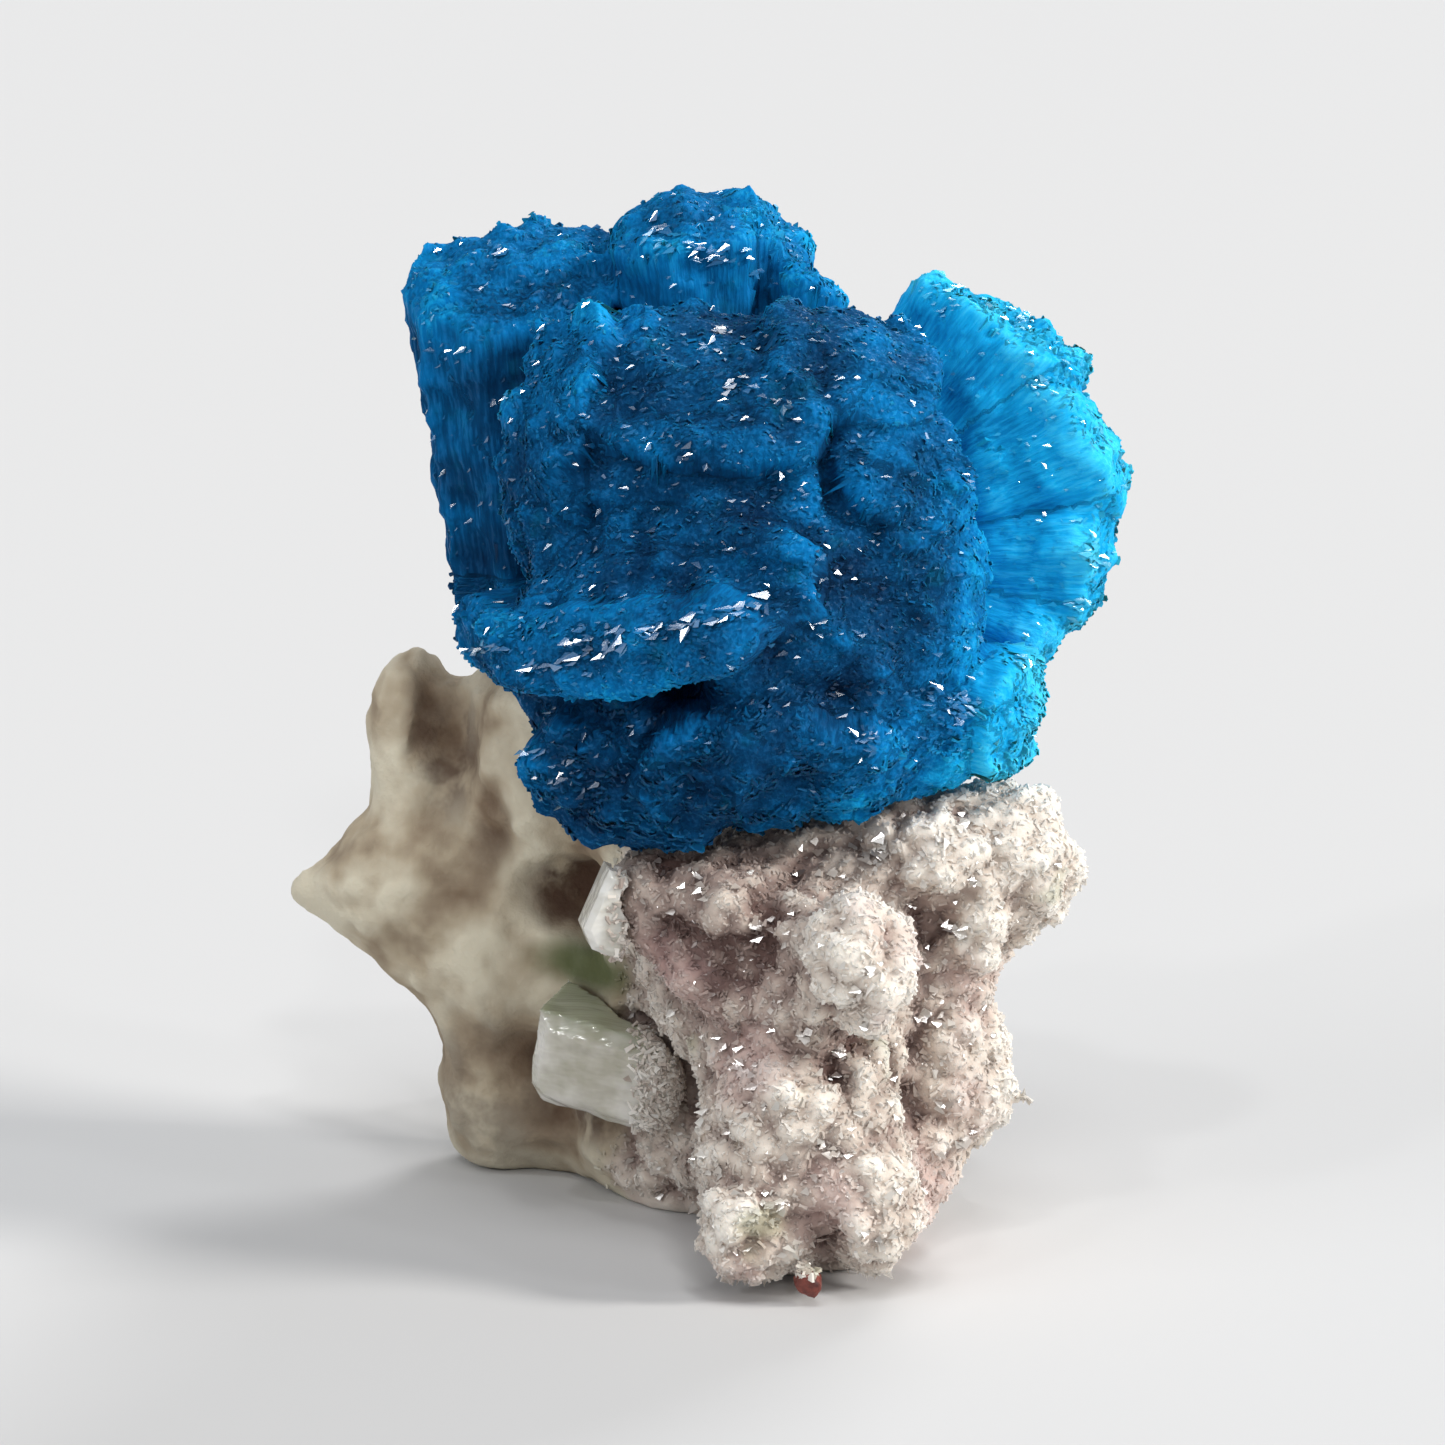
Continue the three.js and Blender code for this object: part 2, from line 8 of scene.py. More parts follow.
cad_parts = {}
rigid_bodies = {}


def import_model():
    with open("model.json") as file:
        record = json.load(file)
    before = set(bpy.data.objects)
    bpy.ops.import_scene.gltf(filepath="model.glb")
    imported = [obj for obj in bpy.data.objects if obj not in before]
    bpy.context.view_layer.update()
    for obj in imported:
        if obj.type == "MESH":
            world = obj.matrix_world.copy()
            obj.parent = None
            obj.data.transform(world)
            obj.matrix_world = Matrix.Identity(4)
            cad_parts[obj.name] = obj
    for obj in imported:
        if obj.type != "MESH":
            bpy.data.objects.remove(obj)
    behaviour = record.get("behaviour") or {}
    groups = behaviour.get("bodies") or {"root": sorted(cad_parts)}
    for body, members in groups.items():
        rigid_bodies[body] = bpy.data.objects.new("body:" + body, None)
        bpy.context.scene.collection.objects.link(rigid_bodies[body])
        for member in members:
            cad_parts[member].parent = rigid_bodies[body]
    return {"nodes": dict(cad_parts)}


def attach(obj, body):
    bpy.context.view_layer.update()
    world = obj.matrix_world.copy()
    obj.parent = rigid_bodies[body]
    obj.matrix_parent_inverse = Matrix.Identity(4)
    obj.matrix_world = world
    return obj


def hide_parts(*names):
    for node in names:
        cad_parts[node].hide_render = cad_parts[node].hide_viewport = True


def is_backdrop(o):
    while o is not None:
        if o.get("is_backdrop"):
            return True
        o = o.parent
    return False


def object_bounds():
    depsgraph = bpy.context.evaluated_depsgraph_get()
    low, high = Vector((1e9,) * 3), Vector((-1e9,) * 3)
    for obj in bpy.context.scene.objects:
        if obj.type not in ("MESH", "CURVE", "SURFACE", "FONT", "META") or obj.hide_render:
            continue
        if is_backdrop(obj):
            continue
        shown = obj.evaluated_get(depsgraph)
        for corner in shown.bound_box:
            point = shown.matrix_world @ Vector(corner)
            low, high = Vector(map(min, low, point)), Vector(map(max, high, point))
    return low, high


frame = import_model()
cad_box = [list(corner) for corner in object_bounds()]

# The matrix
# A loose piece of zeolite: lumps that grew together, knobby like a cauliflower on all but its back left.
# The rest of the specimen grew on it, and it is trimmed flat where it stands.

MM = 0.001
SAME_CORNER = 0.0005  # corners this close are one, in millimetres
MATRIX_CELL = 0.13  # the finest form of the stone's own surface, in millimetres
MATRIX_DRAWN_IN = 0.10  # the druse stands on the stone, and reaches out to the solid's skin
WORN_ROUNDS, KNOB_ROUNDS = 6, 3  # rounds of smoothing, before and after the largest knobs are raised
KNOB, KNOB_HEIGHT = 1.3, 0.28  # from one knob to the next, and how far the creases between them go in
LUMP, LUMP_HEIGHT = 0.6, 0.36
GRIT, GRIT_HEIGHT = 0.24, 0.16
SMOOTH_BEHIND = (-2.7, -1.4)  # behind and left of the first the stone is smooth, beyond the second knobby
SMOOTH_SHARE = 0.16  # what is left of the knobs there
WEATHERED, WEATHERED_HEIGHT = 1.1, 0.45  # the low swells of the smooth mass
LIT_SIDE, LIT_LIFT = (3.0, 6.0), 0.4  # painted light: the druse is painted paler from the first to the second, to the right, where the key lamp falls
SHADOW_AT, SHADOW_SIZE, SHADOW_DROP = (-0.5, -4.0, 7.2), (2.2, 2.6, 1.9), 0.8  # painted shadow: darker under the rosette's left
LOW_ROUNDS = 90  # rounds of smoothing that even the form out
LOW_SPAN = 0.25  # painted shade and light: a place this far in of the evened form is painted dark as a shaded crease, and one this far out light as a lit crest
VIEW_RISE = math.radians(12)  # the front's knobs are placed as seen from this far over the level

# the largest knobs of the front: across and up as seen from there, how wide, how high and how far out
FRONT_KNOBS = (
    (3.1, 5.6, 1.15, 1.35, 0.45), (5.5, 6.0, 0.7, 0.75, 0.30), (0.3, 6.8, 1.0, 0.8, 0.22),
    (3.3, 3.3, 0.55, 1.2, 0.32), (1.5, 2.7, 1.3, 1.1, 0.22), (0.3, 1.0, 1.0, 1.0, 0.22),
    (2.9, 0.9, 0.8, 0.9, 0.18),
)
# painted shade, dark brown, in hollows and shaded places low down: where, how large, how far the stone is
# drawn in there, and how strong the painted shade is
SHADED_HOLLOWS = (
    ((-5.55, 2.8, 9.35), (0.75, 1.3, 1.7), 0.3, 1.0), ((-4.6, 1.6, 7.4), (0.45, 1.5, 1.2), 0.2, 0.8),
    ((-2.75, 2.3, 6.3), (1.0, 1.8, 0.7), 0.35, 1.0), ((-2.7, 1.6, 2.0), (1.7, 1.6, 0.8), 0.2, 0.9),
    ((-4.5, 2.0, 2.0), (2.2, 2.4, 1.8), 0.0, 0.6),
)
GREEN_AT, GREEN_SIZE = (-2.5, 1.3, 5.0), (1.2, 1.5, 0.5)  # a green stain over the block crystal


def only(piece):
    """Nothing but this piece is selected and active."""
    bpy.ops.object.select_all(action="DESELECT")
    piece.select_set(True)
    bpy.context.view_layer.objects.active = piece


def placed(name, data):
    """A new object with this mesh, lamp or camera."""
    made = bpy.data.objects.new(name, data)
    bpy.context.scene.collection.objects.link(made)
    return made


def scaled(piece, by):
    """The piece in other units: the fine work on it is done in millimetres."""
    piece.data.transform(Matrix.Scale(by, 4))


def copy_of_node(node, name):
    """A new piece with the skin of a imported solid, its corners merged, in millimetres."""
    piece = placed(name, frame["nodes"][node].data.copy())
    piece.data.materials.clear()
    scaled(piece, 1 / MM)
    only(piece)
    bpy.ops.object.mode_set(mode="EDIT")
    bpy.ops.mesh.select_all(action="SELECT")
    bpy.ops.mesh.remove_doubles(threshold=SAME_CORNER)
    bpy.ops.object.mode_set(mode="OBJECT")
    return piece


def modified(piece, kind, **settings):
    """A modifier with these settings, applied."""
    only(piece)
    modifier = piece.modifiers.new(kind.lower(), kind)
    for key, value in settings.items():
        setattr(modifier, key, value)
    bpy.ops.object.modifier_apply(modifier=modifier.name)


def smoothed(piece, rounds, weight=""):
    """Smoothed by so many rounds, all over or where a named weight says."""
    modified(piece, "SMOOTH", vertex_group=weight, factor=0.5, iterations=rounds)


def patterned(piece, name, kind, size, height, level=0.5, weight="", **settings):
    """Raised by a pattern: size is from one form to the next, and level is where it leaves the skin."""
    pattern = bpy.data.textures.new(name, kind)
    pattern.noise_scale = size
    for key, value in settings.items():
        setattr(pattern, key, value)
    modified(piece, "DISPLACE", texture=pattern, texture_coords="LOCAL", vertex_group=weight,
             strength=height, mid_level=level)


def without_crumbs(piece):
    """Only the body with the piece's first corner stays; a remesh can part the finest points from it."""
    only(piece)
    for corner in piece.data.vertices:
        corner.select = corner.index == 0
    bpy.ops.object.mode_set(mode="EDIT")
    bpy.ops.mesh.select_mode(type="VERT")
    bpy.ops.mesh.select_linked()
    bpy.ops.mesh.select_all(action="INVERT")
    bpy.ops.mesh.delete(type="VERT")
    bpy.ops.object.mode_set(mode="OBJECT")


def rows_of(things, part, kind=float):
    """The same part of many things, as rows of three."""
    found = np.zeros(len(things) * 3, kind)
    things.foreach_get(part, found)
    return found.reshape(-1, 3)


def places(piece):
    """All corners of a piece."""
    return rows_of(piece.data.vertices, "co")


def directions(piece):
    """The skin's outward direction at each corner."""
    return rows_of(piece.data.vertex_normals, "vector", np.float32).astype(float)


def move_corners(piece, to):
    """Each corner goes to its own row."""
    piece.data.vertices.foreach_set("co", to.astype(np.float32).ravel())
    piece.data.update()


def keep(piece, name, values):
    """A number or a row of three for each corner, which a material reads."""
    values = np.asarray(values, np.float32)
    kind, part = ("FLOAT_VECTOR", "vector") if values.ndim == 2 else ("FLOAT", "value")
    piece.data.attributes.new(name, kind, "POINT").data.foreach_set(part, values.ravel())


def soft_step(value, low, high):
    """From 0 at low to 1 at high, with soft ends."""
    share = np.clip((value - low) / (high - low), 0, 1)
    return share * share * (3 - 2 * share)


matrix = copy_of_node("zeolite_matrix", "zeolite_stone")
modified(matrix, "REMESH", mode="VOXEL", voxel_size=MATRIX_CELL, use_smooth_shade=True)
smoothed(matrix, WORN_ROUNDS)
plain = places(matrix)
# the border between the druse and the smooth mass wanders up and down the stone, and more so behind
behind = soft_step(plain[:, 1], 0.5, 3.5)
waves = np.sin(1.2 * plain[:, 2] + 0.6) + 0.5 * np.sin(2.9 * plain[:, 2] + 1.3 * plain[:, 0])
toward_druse = plain[:, 0] - 0.45 * plain[:, 1] + 0.4 * np.sin(2.3 * plain[:, 2]) * np.sin(1.7 * plain[:, 1])
toward_druse += behind * waves
druse_share = SMOOTH_SHARE + (1 - SMOOTH_SHARE) * soft_step(toward_druse, *SMOOTH_BEHIND)
foot_share = soft_step(plain[:, 2], 0.0, 0.5)
move_corners(matrix, plain - directions(matrix) * (MATRIX_DRAWN_IN * foot_share * druse_share)[:, None])
plain = places(matrix)
outward = directions(matrix)


def within(where, middle, size):
    """1 in the inner part of an ellipsoid, 0 outside it."""
    return 1 - soft_step(np.linalg.norm((where - middle) / size, axis=1), 0.5, 1.5)


def weighted(piece, name, weights):
    """A named weight for each corner, which modifiers read."""
    group = piece.vertex_groups.new(name=name)
    for i, weight in enumerate(weights):
        group.add([i], float(weight), "REPLACE")


# painted shade in the hollows, and how far the stone is drawn in there
shade_in_hollows = np.zeros(len(plain))
drawn_in = np.zeros(len(plain))
for middle, size, depth, stain_or_shade in SHADED_HOLLOWS:
    shade_in_hollows = np.maximum(shade_in_hollows, within(plain, middle, size) * stain_or_shade)
    drawn_in = np.maximum(drawn_in, within(plain, middle, size) * depth)
green_share = within(plain, GREEN_AT, GREEN_SIZE)
seen_up = plain[:, 2] * math.cos(VIEW_RISE) + plain[:, 1] * math.sin(VIEW_RISE)
faces_front = soft_step(-outward[:, 1], 0.0, 0.5)
raised = np.zeros(len(plain))
for across, up, wide, high, height in FRONT_KNOBS:
    off = np.hypot((plain[:, 0] - across) / wide, (seen_up - up) / high)
    raised = np.maximum(raised, height * np.sqrt(np.clip(1 - off ** 2, 0, 1)))
move_corners(matrix, plain + outward * ((raised * faces_front - drawn_in) * foot_share)[:, None])
smoothed(matrix, KNOB_ROUNDS)
plain = places(matrix)
outward = directions(matrix)

weighted(matrix, "knobby", druse_share * foot_share)
weighted(matrix, "smooth", (1 - druse_share) * foot_share)
patterned(matrix, "swells", "CLOUDS", WEATHERED, WEATHERED_HEIGHT, weight="smooth")
for name, size, height in (("knobs", KNOB, KNOB_HEIGHT), ("lumps", LUMP, LUMP_HEIGHT)):
    patterned(matrix, name, "VORONOI", size, -height, 0.25, "knobby", distance_metric="DISTANCE_SQUARED")
patterned(matrix, "grit", "CLOUDS", GRIT, GRIT_HEIGHT, weight="knobby")
knobbed = places(matrix)
knobbed[:, 2] = np.maximum(knobbed[:, 2], 0)
move_corners(matrix, knobbed)


def openness_of(piece, rounds, span_mm):
    """How far each corner stands out of an evened copy of the piece: 1 on the crests, -1 in the creases."""
    evened = placed("evened", piece.data.copy())
    smoothed(evened, rounds)
    out = ((places(piece) - places(evened)) * directions(evened)).sum(1)
    bpy.data.objects.remove(evened)
    return np.clip(out / span_mm, -1, 1)


# painted shade and light: darker in the creases, lighter on the crests and to the right where the key lamp
# falls, and a painted shadow under the rosette's left
relief_shade = openness_of(matrix, LOW_ROUNDS, LOW_SPAN) + LIT_LIFT * soft_step(knobbed[:, 0], *LIT_SIDE)
relief_shade -= SHADOW_DROP * within(knobbed, SHADOW_AT, SHADOW_SIZE)
stone_numbers = {
    "relief_shade": relief_shade, "chance": np.full(len(relief_shade), 0.5), "druse": druse_share, "hollow_shade": shade_in_hollows,
    "green": green_share,
}
for name, values in stone_numbers.items():
    keep(matrix, name, values)


def feed(tree, socket, value):
    """A socket gets a plain value, or is linked to the socket that gives one."""
    if isinstance(value, bpy.types.NodeSocket):
        tree.links.new(value, socket)
    else:
        socket.default_value = value


def add_node(tree, kind, **values):
    """A shader node, with what its sockets and its settings get."""
    made = tree.nodes.new("ShaderNode" + kind)
    for key, value in values.items():
        name = key.replace("_", " ")
        if name in made.inputs:
            feed(tree, made.inputs[name], value)
        else:
            setattr(made, key, value)
    return made


def ramp(tree, source, *stops):
    """A colour ramp: stops are (place, red, green, blue)."""
    made = add_node(tree, "ValToRGB", Fac=source)
    colours = made.color_ramp.elements
    while len(colours) < len(stops):
        colours.new(0.5)
    for stop, (place, *colour) in zip(colours, stops):
        stop.position = place
        stop.color = (*colour, 1)
    return made.outputs["Color"]


def blend(tree, share, first, second, what="Color", **settings):
    """The first colour or vector with a share of the second."""
    made = add_node(tree, "Mix", data_type="RGBA" if what == "Color" else "VECTOR", **settings)
    sockets = {socket.identifier: socket for socket in (*made.inputs, *made.outputs)}
    for name, value in (("Factor_Float", share), ("A_" + what, first), ("B_" + what, second)):
        feed(tree, sockets[name], value)
    return sockets["Result_" + what]


def calculate(tree, kind, *values, limit=False):
    """One step of arithmetic; a limit keeps it from 0 to 1."""
    made = add_node(tree, "Math", operation=kind, use_clamp=limit)
    for socket, value in zip(made.inputs, values):
        feed(tree, socket, value)
    return made.outputs["Value"]


def stained_or_shaded(tree, colour, share, strength, stain_or_shade):
    """A colour with a second colour laid over it, for discolouring or for painted shade, this strong where
    the share is 1.
    """
    return blend(tree, calculate(tree, "MULTIPLY", share, strength), colour, (*stain_or_shade, 1))


def noise_at(tree, place, size_mm, detail=3.0):
    """Soft noise with forms of this size."""
    return add_node(tree, "TexNoise", Vector=place, Scale=1 / (size_mm * MM), Detail=detail).outputs["Fac"]


def span(tree, value, low, high):
    """From 0 where a value is low to 1 where it is high."""
    made = add_node(tree, "MapRange", interpolation_type="SMOOTHSTEP", Value=value, From_Min=low,
                    From_Max=high)
    return made.outputs["Result"]


def new_group(name, wanted, given):
    """An empty shader group and its sockets inside; wanted are names of numbers, given {name: kind}."""
    group = bpy.data.node_groups.new(name, "ShaderNodeTree")
    for socket in wanted:
        group.interface.new_socket(socket, in_out="INPUT", socket_type="NodeSocketFloat")
    for socket, kind in given.items():
        group.interface.new_socket(socket, in_out="OUTPUT", socket_type="NodeSocket" + kind)
    return group, group.nodes.new("NodeGroupInput").outputs, group.nodes.new("NodeGroupOutput").inputs


def new_material(name, **values):
    """A material with one Principled shader; values are plain numbers on its own sockets."""
    material = bpy.data.materials.new(name)
    material.use_nodes = True
    shader = material.node_tree.nodes["Principled BSDF"]
    for key, value in values.items():
        shader.inputs[key.replace("_", " ")].default_value = value
    return material, material.node_tree, shader


def with_colours(tree, shader, colours, **instead):
    """A shared group's colour and roughness, from the piece's own numbers or what is given instead."""
    group = add_node(tree, "Group", node_tree=colours)
    for socket in group.inputs:
        source = instead.get(socket.name)
        if source is None:
            source = add_node(tree, "Attribute", attribute_name=socket.name.lower()).outputs["Fac"]
        tree.links.new(source, socket)
    tree.links.new(group.outputs["Colour"], shader.inputs["Base Color"])
    tree.links.new(group.outputs["Roughness"], shader.inputs["Roughness"])
    return group


def with_bump(tree, shader, height, depth_mm):
    """Bumps too fine for the mesh, of this depth."""
    bump = add_node(tree, "Bump", Distance=depth_mm * MM, Height=height)
    tree.links.new(bump.outputs["Normal"], shader.inputs["Normal"])


def stone_colours():
    """The zeolite's colours: painted shade, mauve and dark brown, in the creases and hollows, painted light,
    cream, on the crests, cream on the smooth mass at the back left, pink and green stains.
    """
    group, wanted, given = new_group(
        "zeolite_colours", ("Relief_shade", "Chance", "Druse", "Hollow_shade", "Green"),
        {"Colour": "Color", "Roughness": "Float", "Bump": "Float"})
    place = add_node(group, "TexCoord").outputs["Object"]
    # painted shade and light: the druse is painted dark in the creases and pale on the crests
    height = calculate(group, "ADD", wanted["Relief_shade"], calculate(
        group, "MULTIPLY_ADD", noise_at(group, place, 0.9), 1.2, -0.6))
    druse = ramp(group, calculate(group, "MULTIPLY_ADD", height, 0.5, 0.5, limit=True),
                 (0.0, 0.12, 0.07, 0.06), (0.35, 0.38, 0.29, 0.25), (0.65, 0.66, 0.57, 0.49),
                 (1.0, 0.92, 0.86, 0.77))
    pink = span(group, noise_at(group, place, 3.0), 0.52, 0.70)
    druse = stained_or_shaded(group, druse, pink, 0.55, (0.56, 0.37, 0.34))
    green = span(group, noise_at(group, place, 2.2, 2.0), 0.66, 0.76)
    druse = stained_or_shaded(group, druse, green, 0.45, (0.30, 0.33, 0.17))
    # the smooth mass is painted darker in its creases too
    swell = calculate(group, "MULTIPLY_ADD", wanted["Relief_shade"], 0.25, noise_at(group, place, 1.6))
    cream = ramp(group, swell, (0.3, 0.22, 0.155, 0.10), (0.48, 0.46, 0.38, 0.27), (0.68, 0.68, 0.62, 0.48))
    colour = blend(group, span(group, wanted["Druse"], 0.3, 0.8), cream, druse)
    # painted shade: dark brown in the shaded hollows, with ragged edges
    ragged = span(group, noise_at(group, place, 0.8), 0.3, 0.6)
    ragged = calculate(group, "MULTIPLY", wanted["Hollow_shade"], ragged)
    colour = stained_or_shaded(group, colour, ragged, 0.95, (0.075, 0.035, 0.02))
    colour = stained_or_shaded(group, colour, wanted["Green"], 0.9, (0.08, 0.105, 0.03))
    tone = calculate(group, "MULTIPLY_ADD", wanted["Chance"], 0.30, 0.85)
    colour = blend(group, 1.0, colour, tone, blend_type="MULTIPLY")
    group.links.new(colour, given["Colour"])
    group.links.new(span(group, wanted["Chance"], 1.15, 0.75), given["Roughness"])
    group.links.new(noise_at(group, place, 0.12), given["Bump"])
    return group


stone_group = stone_colours()
stone, tree, shader = new_material(
    "zeolite_stone", Subsurface_Weight=0.25, Subsurface_Scale=0.35 * MM, Subsurface_Radius=(1.0, 0.8, 0.7))
group = with_colours(tree, shader, stone_group)
with_bump(tree, shader, group.outputs["Bump"], 0.03)
scaled(matrix, MM)
matrix.data.materials.append(stone)
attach(matrix, "root")
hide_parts("zeolite_matrix")

# The druse
# Thousands of tiny tabular zeolite crystals that cover the knobs like coarse sugar, each at its own angle.

DRUSE_CRYSTALS = 19900
DRUSE_FROM = 0.3  # the lowest crystals stand this far over the floor
DRUSE_LEAST = 0.25  # none stand where the stone is smoother than this
DRUSE_STRAY = 0.45  # how far they stray from standing straight out
LEVEL_BELOW = 0.4  # none lower than this points down, into the floor
DRUSE_SIZES = (0.045, 0.085), (0.02, 0.035), (0.20, 0.28), (0.01, 0.03)
CLEAR_ZEOLITE = {"IOR": 1.5, "Subsurface_Weight": 0.35, "Subsurface_Scale": 0.3 * MM,
                 "Subsurface_Radius": (1.0, 0.85, 0.75)}
draw = np.random.default_rng(7)


def skin_points(piece, count, weight):
    """Places spread over a piece's skin: where each is, the skin's direction there and its nearest corner.
    weight gives each corner's share."""
    mesh = piece.data
    mesh.calc_loop_triangles()
    corners = rows_of(mesh.loop_triangles, "vertices", np.int32)
    spots = places(piece)[corners]
    edges = np.cross(spots[:, 1] - spots[:, 0], spots[:, 2] - spots[:, 0])
    areas = np.linalg.norm(edges, axis=1)
    facing = edges / np.maximum(areas, 1e-20)[:, None]
    areas = areas * weight[corners].mean(1)
    upto = np.cumsum(areas) / areas.sum()
    steps = (np.arange(count) + draw.random(count)) / count
    chosen = np.searchsorted(upto, steps).clip(0, len(upto) - 1)
    first, second = draw.random(count), draw.random(count)
    over = first + second > 1
    first[over], second[over] = 1 - first[over], 1 - second[over]
    shares = np.stack([1 - first - second, first, second], 1)
    where = (spots[chosen] * shares[:, :, None]).sum(1)
    nearest = corners[chosen, shares.argmax(1)]
    return where, facing[chosen], nearest


def unit(rows):
    """Each row at length 1."""
    return rows / np.maximum(np.linalg.norm(rows, axis=1), 1e-12)[:, None]


def drawn_sizes(spans, shares):
    """Each crystal's half width, half depth, length and point: a draw from each span, times a share."""
    return np.stack([draw.uniform(*span, len(share)) * share for span, share in zip(spans, shares)], 1)


def leaning(count):
    """How far each crystal's point is to one side."""
    return draw.uniform(-0.9, 0.9, count)


def bladed(name, tips, along, wide, size, lean, facing, material, numbers):
    """One mesh of many small bladed crystals, each with two broad faces, two edges and a slanting point.
    along is the way each one grew and wide its broad side; size is its half width, half depth, length and
    point; lean, from -1 to 1, is how far the point is to one side; facing is the skin's direction there.
    numbers are for the material: one for each crystal, or two, for its foot and its tip."""
    count = len(tips)
    along = unit(along)
    wide = unit(wide - (wide * along).sum(1)[:, None] * along)
    deep = np.cross(along, wide)
    half_width, half_depth, length, point = (column[:, None] for column in size.T)
    lean = lean[:, None]
    side = wide * half_width
    front = deep * half_depth
    foot = tips - along * length
    left = tips - along * point * (1 + 0.6 * lean)
    right = tips - along * point * (1 - 0.6 * lean)
    corners = np.stack([
        foot, left - side - front, right + side - front, right + side + front, left - side + front,
        tips + side * lean - front * 0.6, tips + side * lean + front * 0.6,
    ], 1)
    faces = [(0, 2, 5, 1), (0, 4, 6, 3), (0, 3, 2), (0, 1, 4), (2, 3, 6, 5), (4, 1, 5, 6)]
    around = np.concatenate(faces)
    lengths = np.array([len(face) for face in faces])
    mesh = bpy.data.meshes.new(name)
    mesh.vertices.add(count * 7)
    mesh.vertices.foreach_set("co", corners.reshape(-1).astype(np.float32))
    mesh.loops.add(count * len(around))
    loops = (around[None, :] + 7 * np.arange(count)[:, None]).reshape(-1)
    mesh.loops.foreach_set("vertex_index", loops.astype(np.int32))
    starts = np.concatenate([[0], np.cumsum(lengths)[:-1]])
    mesh.polygons.add(count * len(faces))
    starts = (starts[None, :] + len(around) * np.arange(count)[:, None]).reshape(-1)
    mesh.polygons.foreach_set("loop_start", starts.astype(np.int32))
    mesh.update(calc_edges=True)
    mesh.validate()
    mesh.shade_flat()
    piece = placed(name, mesh)
    for key, values in numbers.items():
        ends = np.broadcast_to(np.reshape(values, (count, -1)), (count, 2))
        keep(piece, key, np.repeat(ends, (1, 6), 1).ravel())
    keep(piece, "facing", np.repeat(facing, 7, 0))
    mesh.materials.append(material)
    return piece


def softened():
    """The direction that light falls on a crystal, part its own face's and part the skin's below it: light
    spreads through such small clear crystals and evens out their faces."""
    group, wanted, given = new_group("softened_faces", ("Share",), {"Normal": "Vector"})
    facing = add_node(group, "Attribute", attribute_name="facing").outputs["Vector"]
    skin = add_node(group, "VectorTransform", vector_type="NORMAL", convert_from="OBJECT",
                    convert_to="WORLD", Vector=facing).outputs["Vector"]
    face = add_node(group, "NewGeometry").outputs["Normal"]
    even = add_node(group, "VectorMath", operation="NORMALIZE",
                    Vector=blend(group, wanted["Share"], face, skin, "Vector"))
    group.links.new(even.outputs["Vector"], given["Normal"])
    return group


softened_group = softened()


def crystal_material(name, colours, share, **values):
    """A material for small crystals, with this share of the skin's direction in how light falls on them."""
    material, tree, shader = new_material(name, **values)
    with_colours(tree, shader, colours)
    group = add_node(tree, "Group", node_tree=softened_group, Share=share)
    tree.links.new(group.outputs["Normal"], shader.inputs["Normal"])
    return material


def numbers_at(nearest, lift):
    """The stone's numbers for crystals at these corners of it, lighter than it by the lift."""
    found = {name: values[nearest] for name, values in stone_numbers.items()}
    return {**found, "relief_shade": found["relief_shade"] + lift, "chance": draw.random(len(nearest))}


druse_material = crystal_material(
    "zeolite_druse", stone_group, 0.45, **CLEAR_ZEOLITE, Coat_Weight=0.4, Coat_Roughness=0.08)
density = druse_share * foot_share * (druse_share > DRUSE_LEAST) * (places(matrix)[:, 2] > DRUSE_FROM * MM)
where, facing, nearest = skin_points(matrix, DRUSE_CRYSTALS, density)
lay = unit(facing + DRUSE_STRAY * draw.normal(size=where.shape))
lay *= np.sign((lay * facing).sum(1))[:, None]
lay[:, 2] = np.where(where[:, 2] < LEVEL_BELOW * MM, np.abs(lay[:, 2]), lay[:, 2])
grown = draw.uniform(0.6, 1.3, len(where))
sizes = drawn_sizes(DRUSE_SIZES, [grown] * 4) * MM
tips = where + lay * (draw.uniform(0.0, 0.07, len(where)) * grown * MM)[:, None]
druse = bladed(
    "zeolite_druse", tips, lay, draw.normal(size=where.shape), sizes, leaning(len(where)), facing,
    druse_material, numbers_at(nearest, 0.1))
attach(druse, "root")
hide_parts("zeolite_matrix")

# The druse's glinting plates
# The larger of the druse's crystals lie with a broad face outward, and glint white. Many are in clusters.

CAMERA_FACE = np.array([0, -math.cos(VIEW_RISE), math.sin(VIEW_RISE)])
SPARKS = ((19, 55), (-25, 60), (8, 28), (55, 22), (-45, 25))  # small lamps: azimuth and elevation, in degrees
DRUSE_SCATTERED = 1100  # plates tried outside the clusters
PLATE_DRUSE = 0.6  # none lie where the stone is smoother than this
PLATE_STRAY = 0.018  # how far their broad faces stray from glinting straight at the camera
PLATE_RISE = (0.30, 0.08)  # how steeply they rise to the right, and how much less for each millimetre
HALF_DEPTH = 0.004
GLINTING = {"Coat_Weight": 1.0, "Coat_Roughness": 0.1, "Coat_IOR": 1.6}
